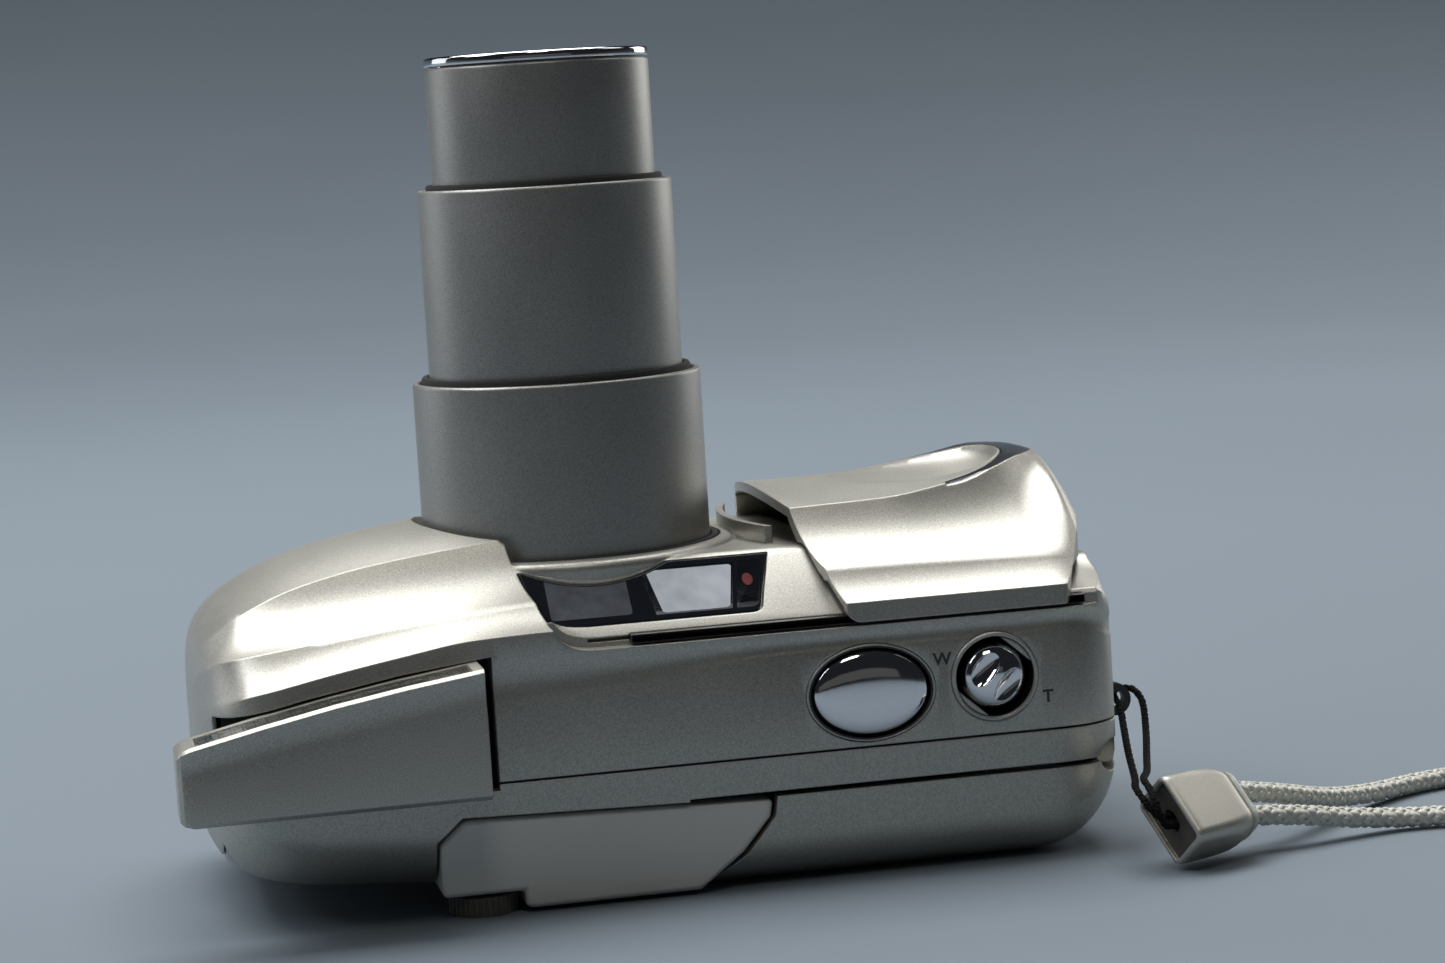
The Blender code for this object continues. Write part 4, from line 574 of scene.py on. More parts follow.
# ---------------- materials
class Finish:
    """A procedural material: grain, broad variation, worn edges and fine relief round one base colour."""

    def __init__(self, name, colour, roughness, metallic=0.0):
        self.material = bpy.data.materials.new(name)
        self.material.use_nodes = True
        self.tree = self.material.node_tree
        self.shader = self.tree.nodes["Principled BSDF"]
        self.colour = colour
        self.roughness = roughness
        self.set(Metallic=metallic)
        self.coordinates = self.node("TexCoord").outputs["Object"]

    def set(self, **values):
        for name, value in values.items():
            self.shader.inputs[name.replace("_", " ")].default_value = value
        return self

    def feed(self, value, target):
        """Sets the input to a number or a colour, or links another node's output to it."""
        if isinstance(value, bpy.types.NodeSocket):
            self.tree.links.new(value, target)
        else:
            target.default_value = (*value, 1.0) if isinstance(value, tuple) else value

    def node(self, kind, inputs=None, **settings):
        made = tuned(self.tree.nodes.new(f"ShaderNode{kind}"), **settings)
        for slot, value in (inputs or {}).items():
            self.feed(value, made.inputs[slot])
        return made

    def noise(self, size, detail):
        """Noise whose features are about size millimetres across."""
        inputs = {"Scale": 1000.0 / size, "Detail": detail, "Vector": self.coordinates}
        return self.node("TexNoise", inputs).outputs["Fac"]

    def ranged(self, value, low, high, source_low=0.25, source_high=0.75):
        return self.node("MapRange", {"Value": value, "From Min": source_low, "From Max": source_high,
                                      "To Min": low, "To Max": high}).outputs["Result"]

    def maths(self, operation, first, second):
        return self.node("Math", {0: first, 1: second}, operation=operation).outputs[0]

    def blend(self, factor, first, second, blend_type="MIX"):
        made = self.node("Mix", {0: factor, 6: first, 7: second}, data_type="RGBA", blend_type=blend_type)
        return made.outputs[2]

    def edges(self, radius):
        """(rounded normal, how near an edge a point is) for edges of this radius in millimetres."""
        rounded_normal = self.node("Bevel", {"Radius": radius * MM}, samples=6).outputs["Normal"]
        flat_normal = self.node("NewGeometry").outputs["Normal"]
        dot = self.node("VectorMath", {0: rounded_normal, 1: flat_normal}, operation="DOT_PRODUCT")
        return rounded_normal, self.ranged(dot.outputs["Value"], 1.0, 0.0, 0.8, 0.985)

    def build(self, grain=0.3, spread=0.05, broad=12.0, stain=0.03, relief=0.004, relief_size=None,
              rough_spread=0.06, edge=0.2, wear=0.15, wear_colour=None):
        """grain, broad, relief_size and edge are sizes in millimetres, and relief is a height in them."""
        fine = self.noise(grain, 2.0)
        wide = self.noise(broad, 3.0)
        shade = self.maths("MULTIPLY", self.ranged(fine, 1 - spread, 1 + spread),
                           self.ranged(wide, 1 - stain, 1 + stain))
        grey = self.node("CombineColor", {"Red": shade, "Green": shade, "Blue": shade}).outputs["Color"]
        colour = self.blend(1.0, self.colour, grey, "MULTIPLY")
        rough = self.maths("ADD", self.ranged(wide, -rough_spread, rough_spread), self.ranged(
            fine, self.roughness - rough_spread / 2, self.roughness + rough_spread / 2))
        bump = self.node("Bump", {"Strength": 1.0, "Distance": relief * MM,
                                  "Height": self.noise(relief_size or grain * 1.5, 3.0)})
        if edge:
            normal, near = self.edges(edge)
            worn = self.maths("MULTIPLY", near, self.ranged(self.noise(2.5, 4.0), 0.0, wear, 0.4, 0.6))
            colour = self.blend(worn, colour, wear_colour or tuple(min(1.0, c * 1.5) for c in self.colour))
            self.feed(normal, bump.inputs["Normal"])
        shaded = {"Base Color": colour, "Roughness": rough, "Normal": bump.outputs["Normal"]}
        for socket, value in shaded.items():
            self.feed(value, self.shader.inputs[socket])
        return self.material


FINISHES = {}


def look(key, name, colour, roughness, metallic=0.0, **settings):
    """Keeps a finish by its material slot, or by a key of its own; capitals name the shader's own sockets."""
    sockets = {setting: settings.pop(setting) for setting in list(settings) if setting[0].isupper()}
    FINISHES[key] = Finish(name, colour, roughness, metallic).set(**sockets).build(**settings)


def add_finishes():
    plating = {"grain": 0.8, "spread": 0.02, "broad": 6.0, "relief": 0.0004, "relief_size": 3.0}
    pane = {"relief": 0.0005, "relief_size": 4.0, "rough_spread": 0.05, "edge": 0}
    look("silver_plastic", "champagne_paint", (0.478, 0.471, 0.430), 0.41, 0.76, Coat_Weight=0.06,
         Coat_Roughness=0.3, grain=0.19, spread=0.26, broad=18.0, stain=0.025, relief=0.003,
         relief_size=0.30, rough_spread=0.03, edge=0.3, wear=0.12)
    look("barrel_silver", "barrel_coating", (0.37, 0.368, 0.350), 0.42, 0.8, grain=0.19, spread=0.25,
         broad=14.0, relief=0.0015, relief_size=0.2, rough_spread=0.04, edge=0.15, wear=0.5)
    look("grey_plastic", "grey_moulding", (0.70, 0.69, 0.64), 0.5, 0.2, grain=0.18, spread=0.06,
         relief=0.006, relief_size=0.22, edge=0.3)
    look("dark_grey", "dark_grey_moulding", (0.12, 0.115, 0.10), 0.58, grain=0.25, spread=0.10,
         relief=0.008, relief_size=0.3, edge=0.1, wear=0.3)
    look("black_plastic", "black_moulding", (0.018, 0.018, 0.02), 0.42, grain=0.25, spread=0.12,
         relief=0.005, relief_size=0.3, edge=0.12, wear=0.3, wear_colour=(0.07, 0.07, 0.07))
    look("black_rubber", "seal_rubber", (0.012, 0.012, 0.013), 0.78, grain=0.2, spread=0.2, relief=0.01,
         relief_size=0.25, edge=0.1, wear=0.4, wear_colour=(0.05, 0.05, 0.05))
    look("chrome", "chrome_plating", (0.82, 0.82, 0.84), 0.07, 1.0, rough_spread=0.025, edge=0.12,
         wear=0.1, **plating)
    look("trim_chrome", "trim_plating", (0.80, 0.80, 0.82), 0.18, 1.0, rough_spread=0.03, edge=0,
         **plating)
    look("steel", "satin_steel", (0.52, 0.52, 0.50), 0.33, 1.0, grain=0.15, spread=0.08, relief=0.003,
         edge=0.15, wear=0.3)
    look("dark_window", "smoked_window", (0.010, 0.012, 0.016), 0.05, Coat_Weight=0.6,
         Coat_Roughness=0.03, grain=1.5, spread=0.1, relief=0.0003, relief_size=4.0, rough_spread=0.02,
         edge=0.12, wear=0.2)
    look("clear", "clear_moulding", (0.90, 0.93, 0.95), 0.04, Transmission_Weight=1.0, IOR=1.5, grain=1.2,
         spread=0.02, relief=0.0003, relief_size=3.0, rough_spread=0.015, edge=0.1, wear=0.1)
    look("circuit_green", "circuit_lacquer", (0.03, 0.16, 0.08), 0.35, grain=0.8, spread=0.2, relief=0.02,
         relief_size=1.2, edge=0.1, wear=0.2)
    look("brass", "contact_brass", (0.72, 0.55, 0.28), 0.3, 1.0, grain=0.2, spread=0.1, relief=0.003,
         edge=0.1, wear=0.2)
    look("battery_sleeve", "battery_sleeve_film", (0.06, 0.075, 0.2), 0.28, Coat_Weight=0.4, grain=0.5,
         spread=0.08, relief=0.002, relief_size=2.0, edge=0.15, wear=0.2)
    look("black_cord", "black_yarn", (0.005, 0.005, 0.006), 0.8, Specular_IOR_Level=0.12,
         Sheen_Weight=0.02, Sheen_Roughness=0.4, grain=0.08, spread=0.35, relief=0.02, relief_size=0.08,
         edge=0, rough_spread=0.08)
    look("silver_cord", "silver_yarn", (0.58, 0.58, 0.52), 0.38, Sheen_Weight=0.5, Sheen_Roughness=0.35,
         Specular_IOR_Level=0.7, grain=0.06, spread=0.16, relief=0.015, relief_size=0.07, edge=0,
         rough_spread=0.08)
    look("frosted", "frosted_collar", (0.72, 0.73, 0.68), 0.35, Transmission_Weight=0.55, IOR=1.45,
         Subsurface_Weight=0.2, grain=0.5, relief=0.003, relief_size=0.4, wear=0.2)
    look("clasp_metal", "clasp_metal", (0.50, 0.49, 0.44), 0.42, 0.7, grain=0.13, spread=0.18, broad=6.0,
         stain=0.05, relief=0.0025, relief_size=0.5, rough_spread=0.05, edge=0.3, wear=0.4)
    look("clasp_end", "clasp_end_face", (0.085, 0.08, 0.068), 0.45, 0.4, grain=0.2, spread=0.12,
         relief=0.006, edge=0.1, wear=0.3)
    look("pane", "viewfinder_pane", (0.62, 0.66, 0.73), 0.12, Coat_Weight=0.7, Coat_Roughness=0.03,
         grain=2.5, spread=0.12, broad=7.0, stain=0.2, **pane)
    look("pane_dark", "sensor_pane", (0.085, 0.092, 0.108), 0.10, Coat_Weight=0.7, Coat_Roughness=0.03,
         grain=2.0, spread=0.2, broad=5.0, stain=0.2, **pane)
    look("pane_edge", "viewfinder_rim", (0.20, 0.21, 0.235), 0.2, Coat_Weight=0.5, Coat_Roughness=0.05,
         grain=1.2, spread=0.12, broad=5.0, stain=0.15, **{**pane, "relief_size": 2.0})
    look("pane_tail", "window_tail", (0.105, 0.112, 0.130), 0.14, Coat_Weight=0.6, Coat_Roughness=0.03,
         grain=1.8, spread=0.15, broad=4.0, stain=0.25, **pane)
    look("lamp", "red_lamp", (0.17, 0.035, 0.035), 0.15, Coat_Weight=0.7, grain=0.6, spread=0.3,
         relief=0.001, edge=0)
    look("print", "printed_letter", (0.035, 0.035, 0.035), 0.5, grain=0.1, spread=0.2, relief=0.001,
         edge=0)
    look("glass", "coated_lens", (0.85, 0.88, 0.95), 0.01, Transmission_Weight=1.0, IOR=1.6,
         Coat_Weight=0.4, Coat_Tint=(0.55, 0.5, 1.0, 1.0), grain=2.0, spread=0.01, relief=0.0001,
         relief_size=6.0, rough_spread=0.006, edge=0)
    look("floor", "studio_paper", (0.162, 0.199, 0.236), 0.8, grain=0.9, spread=0.015, broad=260.0,
         stain=0.02, relief=0.01, relief_size=1.5, edge=0)


# ---------------- camera, stage and light
def add_camera():
    """Camera at the photograph's place, which looks slightly down across the camera's top face."""
    turn, tip, roll = (radians(a) for a in (VIEW_TURN, VIEW_TIP, VIEW_ROLL))
    ahead = Vector((sin(turn) * cos(tip), cos(turn) * cos(tip), -sin(tip)))
    level = Vector((cos(turn), -sin(turn), 0))
    upright = level.cross(ahead)
    up = upright * cos(roll) + level * sin(roll)
    right = level * cos(roll) - upright * sin(roll)
    camera = linked("photo_view", tuned(bpy.data.cameras.new("photo_view"), lens=VIEW_LENS, sensor_width=36.0,
                                        clip_start=0.01, clip_end=20.0))
    camera.matrix_world = Matrix.Translation(VIEW_FROM) @ Matrix((right, up, -ahead)).transposed().to_4x4()
    SCENE.camera = camera


def add_stage():
    """Round studio floor that bends up into a wall at the back and stays flat in front."""
    flat, bend, steps = 0.9, 2.4, 96
    profile = [(0.3, 0.0), (flat, 0.0)] + arc(flat, bend, bend, bend, range(-87, -35, 3))
    bm = bmesh.new()
    turns = [2 * pi * i / steps for i in range(steps)]
    rows = [[bm.verts.new((r * cos(turn), r * sin(turn), z * (0.5 + 0.5 * sin(turn))))
             for turn in turns] for r, z in profile]
    middle = bm.verts.new((0, 0, 0))
    for i in range(steps):
        bm.faces.new((middle, rows[0][i], rows[0][(i + 1) % steps]))
    for a, b in zip(rows, rows[1:]):
        for i in range(steps):
            j = (i + 1) % steps
            bm.faces.new((a[i], b[i], b[j], a[j]))
    mesh = mesh_of(bm, "studio_floor")
    mesh.shade_smooth()
    mesh.materials.append(FINISHES["floor"])
    linked("studio_floor", mesh)


def area_light(name, place_at, look_at, width, height, power, colour):
    data = tuned(bpy.data.lights.new(name, "AREA"), shape="RECTANGLE", size=width, size_y=height,
                 energy=power, color=colour)
    ahead = Vector(look_at) - Vector(place_at)
    tuned(linked(name, data), location=place_at, rotation_euler=ahead.to_track_quat("-Z", "Y").to_euler())


def add_light():
    area_light("ceiling_softbox", (-0.20, 0.47, 1.20), (-0.20, 0.42, 0.0), 1.6, 1.0, 29.0, (1.0, 0.992, 0.98))
    area_light("left_back_panel", (-1.25, 0.95, 0.45), (0, 0, 0.06), 0.8, 0.8, 2.2, (0.95, 0.97, 1.0))
    area_light("right_back_panel", (1.25, 0.95, 0.40), (0, 0, 0.06), 0.8, 0.8, 4.2, (1.0, 0.98, 0.95))
    area_light("left_high_panel", (-1.0, -0.15, 1.0), (0, 0, 0.05), 0.5, 0.6, 3.5, (0.95, 0.97, 1.0))
    area_light("right_high_panel", (1.05, 0.10, 1.0), (0, 0, 0.05), 0.5, 0.5, 1.3, (1.0, 0.98, 0.95))
    area_light("front_top_fill", (-0.1, -0.95, 1.55), (0, 0, 0.04), 0.5, 0.4, 3.0, (1.0, 0.95, 0.87))
    area_light("front_low_fill", (-0.2, -1.6, 0.22), (0, 0, 0.05), 2.2, 0.3, 0.12, (1.0, 0.96, 0.9))
    world = bpy.data.worlds.new("studio")
    world.use_nodes = True
    background = world.node_tree.nodes["Background"]
    background.inputs["Color"].default_value = (0.40, 0.45, 0.52, 1.0)
    background.inputs["Strength"].default_value = 0.03
    SCENE.world = world
    SCENE.view_settings.view_transform = "Standard"


# ---------------- cords
def route_points(route, spacing):
    """Even points on a smooth curve through the route's own points."""
    dense = []
    padded = [route[0]] + list(route) + [route[-1]]
    for a, b, c, d in zip(padded, padded[1:], padded[2:], padded[3:]):
        a, b, c, d = map(Vector, (a, b, c, d))
        for i in range(24):
            t = i / 24
            dense.append(0.5 * (2 * b + (c - a) * t + (2 * a - 5 * b + 4 * c - d) * t**2
                                + (3 * b - a - 3 * c + d) * t**3))
    dense.append(Vector(route[-1]))
    along = [0.0]
    for a, b in zip(dense, dense[1:]):
        along.append(along[-1] + (b - a).length)
    count = max(2, round(along[-1] / spacing))
    points = []
    i = 0
    for k in range(count + 1):
        wanted = along[-1] * k / count
        while i < len(along) - 2 and along[i + 1] < wanted:
            i += 1
        share = (wanted - along[i]) / max(1e-9, along[i + 1] - along[i])
        points.append(dense[i].lerp(dense[i + 1], min(1.0, share)))
    return points, along[-1]


def travelling_frames(points):
    """(tangent, side, other side) at each point, turning as little as possible along the curve."""
    tangents = []
    for i in range(len(points)):
        tangents.append((points[min(i + 1, len(points) - 1)] - points[max(i - 1, 0)]).normalized())
    side = tangents[0].orthogonal().normalized()
    frames = []
    for tangent in tangents:
        side = (side - tangent * side.dot(tangent)).normalized()
        frames.append((tangent, side, tangent.cross(side)))
    return frames


def braid_mesh(name, route, diameter, strands, pitch, yarn_width, yarn_depth, step):
    """Braided sheath: strands each way round the cord, that pass over and under each other."""
    points, length = route_points(route, step)
    frames = travelling_frames(points)
    middle = diameter / 2 - yarn_depth * 0.75
    swing = yarn_depth * 0.42
    sides = 6
    vertices = []
    faces = []
    for hand in (1, -1):
        for strand in range(strands):
            start = len(vertices)
            centres = []
            for i, (point, frame_here) in enumerate(zip(points, frames)):
                turns = length * i / (len(points) - 1) / pitch
                angle = 2 * pi * (hand * turns + strand / strands)
                out = frame_here[1] * cos(angle) + frame_here[2] * sin(angle)
                weave = cos(2 * pi * (turns * 2 * strands + hand * 0.25 + (strand % 2) * 0.5) / 2)
                centres.append((point + out * (middle + swing * hand * weave), out))
            for i, (centre, out) in enumerate(centres):
                before = centres[max(i - 1, 0)][0]
                after = centres[min(i + 1, len(centres) - 1)][0]
                run = (after - before).normalized()
                across = run.cross(out).normalized()
                for k in range(sides):
                    angle = 2 * pi * k / sides
                    vertices.append(centre + across * (yarn_width / 2 * cos(angle))
                                    + out * (yarn_depth / 2 * sin(angle)))
            last = len(vertices) - sides
            for a in range(start, last, sides):
                faces += [(a + k, a + (k + 1) % sides, a + sides + (k + 1) % sides, a + sides + k)
                          for k in range(sides)]
            faces += [tuple(range(start, start + sides))[::-1], tuple(range(last, last + sides))]
    mesh = bpy.data.meshes.new(name)
    mesh.from_pydata(vertices, [], faces)
    mesh.shade_smooth()
    return mesh


def add_cord(name, node, route, diameter, finish, **braid):
    """A cord's core, shown in place of the packed cord, with its braided sheath round it."""
    points, length = route_points(route, diameter * 0.8)
    curve = tuned(bpy.data.curves.new(name, "CURVE"), dimensions="3D", bevel_depth=diameter * CORE_SHARE,
                  bevel_resolution=4, use_fill_caps=True)
    spline = curve.splines.new("POLY")
    spline.points.add(len(points) - 1)
    for target, point in zip(spline.points, points):
        target.co = (*point, 1.0)
    spline.use_smooth = True
    core = linked(name, curve)
    sheath = linked(f"{name}_braid", braid_mesh(f"{name}_braid", route, diameter, **braid))
    for obj in (core, sheath):
        obj.data.materials.append(FINISHES[finish])
        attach(obj, "casing")
    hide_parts(node)


def add_cords():
    add_cord("wrist_strap_cord", "strap_cord", STRAP_CORD_ROUTE, STRAP_CORD * MM, "silver_cord",
             strands=6, pitch=0.0102, yarn_width=0.00082, yarn_depth=0.00042, step=0.00032)
    add_cord("lug_loop_cord", "strap_loop_cord", LOOP_CORD_ROUTE, LOOP_CORD * MM, "black_cord",
             strands=4, pitch=0.0030, yarn_width=0.00042, yarn_depth=0.00022, step=0.00015)


# ---------------- casing
def add_casing():
    hollow = shaped(cavity_form())
    recess = shaped(recess_form(), *cut(hump_side()))
    pocket = shaped(window_form(0.25, -1.4), *cut(hump_side(0.1), lens_bore(LIP_FOOT + 0.05)))
    lens_lip = turned([(19.0, 39.9), (22.2, 39.9), (22.6, 41.7), (22.55, 42.2), (22.3, 42.6), (21.9, 42.85),
                       (21.2, 43.0), (20.2, 43.0), (19.0, 43.0)], 128)
    rib_curve = [(21.5 + 2.4 * (y / 15) ** 2, y) for y in range(-15, 16, 3)]
    rib = prism(rib_curve + [(x + 1.0, y) for x, y in reversed(rib_curve)], 41, 44.6)
    rails = [box(left, 62.5, *sorted((side * 27.3 * share, side * 33)), low, high)
             for side, share in SIDES for left, low, high in ((2.6, 33.0, 34.1), (-2.8, 33.4, 33.9))]
    front = shaped(
        body_form(), *cut(box(*BEYOND, -5, SEAM_Z + GAP / 2), recess), *join(lens_lip, rib),
        *cut(hollow, lens_bore(20.6, 96), *rails,
             prism(oval(SHUTTER_X, SHUTTER_Z, 8.6, 6.4, 72), *THROUGH_TOP, "Y"),
             rod(5.85, *THROUGH_TOP, 64, (LEVER_X, LEVER_Z)), flash_well(), pocket,
             box(*BATTERY_OPENING), rod(5.0, 25, 40, 48, (TRIPOD_X, TRIPOD_Z)),
             box(63, 70, LUG_Y - 1.1, LUG_Y + 1.1, 17.6, 20.0), *screw_holes("front")))
    piece("front_casing", front, "silver_plastic", "casing", "front_shell")
    # Painted shade: the black lining sheet in each rail slot darkens the slot under the cover's edge, where
    # only shade falls.
    for index, (side, share) in enumerate(SIDES):
        deep, near, mouth = (side * depth * share for depth in (27.33, 27.42, 30.2))
        shade_lining = shaped(box(2.65, 62.45, *sorted((deep, mouth)), 33.02, 34.08),
                        *cut(box(2.75, 62.35, *sorted((near, side * 35)), 33.1, 34.0)))
        piece(f"rail_lining_{index + 1}", shade_lining, "black_plastic", "casing")

    ears = [prism([(64.2, 16.5), (64.2, 12.3), (64.6, 11.2), (65.2, 10.8), (65.8, 10.7), (66.4, 10.85),
                   (66.8, 11.2), (67.1, 12.3), (67.1, 16.5)], *sorted((side * 22.4, side * 25.2)), "Y")
            for side, _share in SIDES]
    groove = prism(arc(HINGE_X, HINGE_Z, 2.1, 2.1, range(90, 271, 9))
                   + [(HINGE_X, 9), (72, 9), (72, HINGE_Z + 2.1)], -40, 40, "Y")
    rear = shaped(
        body_form(), *cut(box(*BEYOND, SEAM_Z - GAP / 2, 70), hollow, door_side(0.3, DOOR_Z + 0.35),
                          eyepiece_gap(0.4, 0.3), groove), *join(*ears),
        *cut(hinge_rod(0.95, -24.4, 24.4, 32), flash_well(), box(*BATTERY_OPENING),
             box(-56, -50.9, 0.4, 11.6, 13.1, 16.25), box(-56, -47, 1.6, 8.4, 14.1, 15.2),
             *screw_holes("rear")))
    piece("rear_casing", rear, "silver_plastic", "casing", "rear_shell")


def screw_holes(shell):
    return [rod(1.75, 28.0, 36.0, 32, (x, z)) for x, z, where in SCREWS if where == shell]


def add_screws():
    for index, (x, z, _shell) in enumerate(SCREWS):
        head = turned([(0, 28.6), (1.55, 28.6), (1.55, 29.0), (1.3, 29.25), (0, 29.35)], 40, (x, z), "Y")
        cross = [prism([(x - a, z - b), (x + a, z - b), (x + a, z + b), (x - a, z + b)], 28.9, 31, "Y")
                 for a, b in ((0.85, 0.18), (0.18, 0.85))]
        piece(f"bottom_screw_{index + 1}", shaped(head, *cut(*cross)), "steel", "casing")


def add_doors():
    reliefs = [hinge_rod(2.1, *sorted((side * 22.05, side * 32)), 48) for side, _share in SIDES]
    buttons = [rod(1.95, -3, 5, 48, (44.9 + 5.0 * i, -13.5), "Z") for i in range(3)]
    door = shaped(
        body_form(), *keep(door_side(0.0, DOOR_Z - 0.35)), *cut(cavity_form(), eyepiece_gap(0.5, 0.4)),
        *join(hinge_rod(1.7, -22.0, 22.0, 48)), *cut(
            hinge_rod(0.95, -30, 30, 32), *reliefs, prism(rounded(27, 57.5, -19.5, -7.5, 2.0, 8), -3, 0.7),
            prism(rounded(-38.5, -34.0, -7, 11, 2.0, 8), -3, 10), *buttons,
            prism(rounded(29.3, 41.7, -17.8, -9.2, 0.8, 6), -3, 5)))
    piece("film_door_skin", door, "silver_plastic", "film_back", "film_door")
    hatch = shaped(body_form(), *keep(prism(rounded(46.4, 64.5, 13.35, 30.95, 1.0, 8), 27.4, 40, "Y")))
    piece("battery_hatch", hatch, "silver_plastic", "battery_cover", "battery_door")


def add_eyepiece():
    dial_hole = rod(1.6, 1.5, 6.5, 32, (DIAL_X, DIAL_Y), "Z")
    housing = shaped(prism(eyepiece_outline(), -30.6, EYEPIECE_LOW, "Y"),
                     *cut(prism(rounded(-8.5, 3.5, -28.9, -23.2, 1.5, 8), -2, 3.4), dial_hole))
    piece("eyepiece_block", housing, "grey_plastic", "casing", "eyepiece_housing", bevel=0.7, segments=4)


def add_window():
    plate = shaped(window_form(0.0, -1.1), *cut(lens_bore(LIP_FOOT + 0.35), hump_side(GAP + 0.05)))
    piece("window_plate", plate, "dark_window", "casing", "front_window")
    for name, outline, height, finish in (
            ("autofocus_pane", rounded(-6.9, 3.6, -2.9, 3.9, 0.5, 5), 0.19, "pane_dark"),
            ("viewfinder_rim", [(6.6, -3.3), (16.5, -3.3), (18.1, 4.3), (5.5, 4.3)], 0.15, "pane_edge"),
            ("viewfinder_pane", [(7.5, -2.9), (7.9, -3.1), (15.9, -3.1), (16.3, -2.8), (17.6, 3.6),
                                 (17.3, 3.9), (6.7, 3.9), (6.4, 3.6)], 0.19, "pane"),
            ("window_tail", [(17.1, -3.3), (19.3, -3.3), (19.9, -3.0), (20.2, -2.5), (21.6, 4.3),
                             (18.6, 4.3)], 0.15, "pane_tail"),
            ("lamp_pane", oval(19.3, 1.2, 0.7, 1.0, 32), 0.19, "lamp")):
        clear_of_lip = shaped(on_band(prism(outline, 0.0, height)), *cut(lens_bore(LIP_FOOT + 0.6)))
        piece(name, clear_of_lip, finish, "casing")


# ---------------- cover and flash
def add_cover():
    inside = shaped(cover_inside(), *cut(finger_dish(COVER_THICKNESS - 0.1)))
    groove = shaped(crescent(0.3, 44, 60), *cut(trim_base(0.0)))
    rails = [box(33.0, 57.0, *sorted((side * 27.75 * share, side * 30.2 * share)), 33.3, 33.8)
             for side, share in SIDES]
    cover = shaped(
        body_form(), *keep(prism(cover_plan(), 33.15, 60), recess_form(GAP + 0.05, COVER_TRAVEL)),
        *cut(inside), *keep(prism(cover_side(), -40, 40, "Y")), *join(*rails), *cut(finger_dish(), groove))
    piece("lens_cover_shell", cover, "silver_plastic", "lens_cover", "sliding_cover")
    trim = shaped(crescent(0.0, 46.5, 53), *keep(body_form()), *cut(trim_base(GAP)))
    piece("grip_crescent", trim, "trim_chrome", "lens_cover", "cover_grip_trim")


def add_flash():
    lamp_room = box(-46.4, -23.6, -29.2, -24.9, 19.1, 33)
    head = shaped(flash_form(), *cut(flash_strip(-53.0, -18.6, 1.5, -0.8), lamp_room))
    ribs = [flash_strip(x, x + 0.5, -0.28, -0.8, steps=1) for x in [-51.4 + i * 1.5 for i in range(22)]]
    lens = shaped(flash_strip(-52.6, -19.0, -0.1, -0.5, -29.6, -24.5), *cut(*ribs))
    for mesh in (head, lens):
        mesh.transform(Matrix.Translation((0, -FLASH_LIFT, 0)))
    piece("flash_head_shell", head, "silver_plastic", "flash_head", "flash_housing")
    piece("flash_panel", lens, "clear", "flash_head", "flash_window")


# ---------------- controls
def finger_dip(side):
    """Oval dip beside the zoom knob's ridge, which runs KNOB_TURN round from the lens direction."""
    dip = turned(arc(0, 0, 3.5, 1.5, range(-90, 91, 9)), 64, stretch=0.5)
    for vert in dip.verts:
        vert.co = Vector((vert.co.y + side * 2.15, vert.co.z - 32.75, vert.co.x))
    turn = spun(KNOB_TURN, "Y")
    bmesh.ops.transform(dip, verts=dip.verts, matrix=Matrix.Translation((LEVER_X, 0, LEVER_Z)) @ turn)
    return dip


def add_controls():
    def button_part(profile, stretch):
        return turned(profile, 96, (SHUTTER_X, SHUTTER_Z), "Y", stretch)

    def knob_part(profile):
        return turned(profile, 96, (LEVER_X, LEVER_Z), "Y")

    button = button_part(
        [(0, -32.1), (1.5, -32.08), (3.0, -32.0), (4.4, -31.87), (5.6, -31.68), (6.6, -31.43), (7.2, -31.17),
         (7.6, -30.85), (7.75, -30.4), (7.75, -28.9), (8.0, -28.7), (8.0, -28.1), (0, -28.1)], 0.72)
    piece("release_button_cap", button, "chrome", "release_button", "shutter_button", angle=40)
    surround = button_part([(8.15, -30.6), (8.15, -30.98), (8.22, -31.1), (8.36, -31.14), (8.5, -31.08),
                            (8.56, -30.95), (8.56, -30.2), (8.3, -30.2)], 0.735)
    piece("button_surround", surround, "silver_plastic", "casing", angle=40)
    dome = [(4.3 * sin(a), -30.1 - 2.3 * cos(a)) for a in map(radians, range(0, 91, 9))]
    knob = knob_part(dome + [(4.33, -29.7), (4.35, -29.4), (4.35, -28.9), (0, -28.9)])
    piece("zoom_knob", shaped(knob, *cut(finger_dip(-1), finger_dip(1))), "chrome", "zoom_control",
          "zoom_lever", angle=40)
    well = knob_part([(5.2, -31.0), (5.2, -28.6), (0.0, -28.6), (0.0, -28.35), (5.17, -28.35), (5.17, -31.0)])
    piece("zoom_well", well, "black_plastic", "casing")
    ring = knob_part([(5.22, -28.6), (5.22, -31.15), (5.28, -31.28), (5.4, -31.36), (5.6, -31.34),
                      (5.74, -31.24), (5.8, -31.05), (5.8, -27.6), (0.0, -27.6), (0.0, -28.6)])
    piece("zoom_ring", ring, "silver_plastic", "casing", "zoom_lever_bezel", angle=40)
    for index, degrees in enumerate((222, 42)):
        stop = shaped(rod(5.12, -31.05, -28.5, 96, (0, 0)), *cut(box(-9, 9, -40, -20, -9, 4.45)))
        stop.transform(Matrix.Translation((LEVER_X, 0, LEVER_Z)) @ spun(degrees, "Y"))
        piece(f"zoom_stop_{index + 1}", stop, "silver_plastic", "casing")

    ribs = 36
    outline = []
    for i in range(ribs):
        for radius, share in ((4.45, 0.06), (4.45, 0.44), (4.2, 0.56), (4.2, 0.94)):
            angle = 2 * pi * (i + share) / ribs
            outline.append((DIAL_X + radius * cos(angle), DIAL_Y + radius * sin(angle)))
    dial = shaped(prism(outline, 0.0, 2.45), *join(rod(1.25, 2.0, 6.0, 32, (DIAL_X, DIAL_Y), "Z")))
    piece("diopter_wheel", dial, "dark_grey", "diopter_control", "diopter_dial")


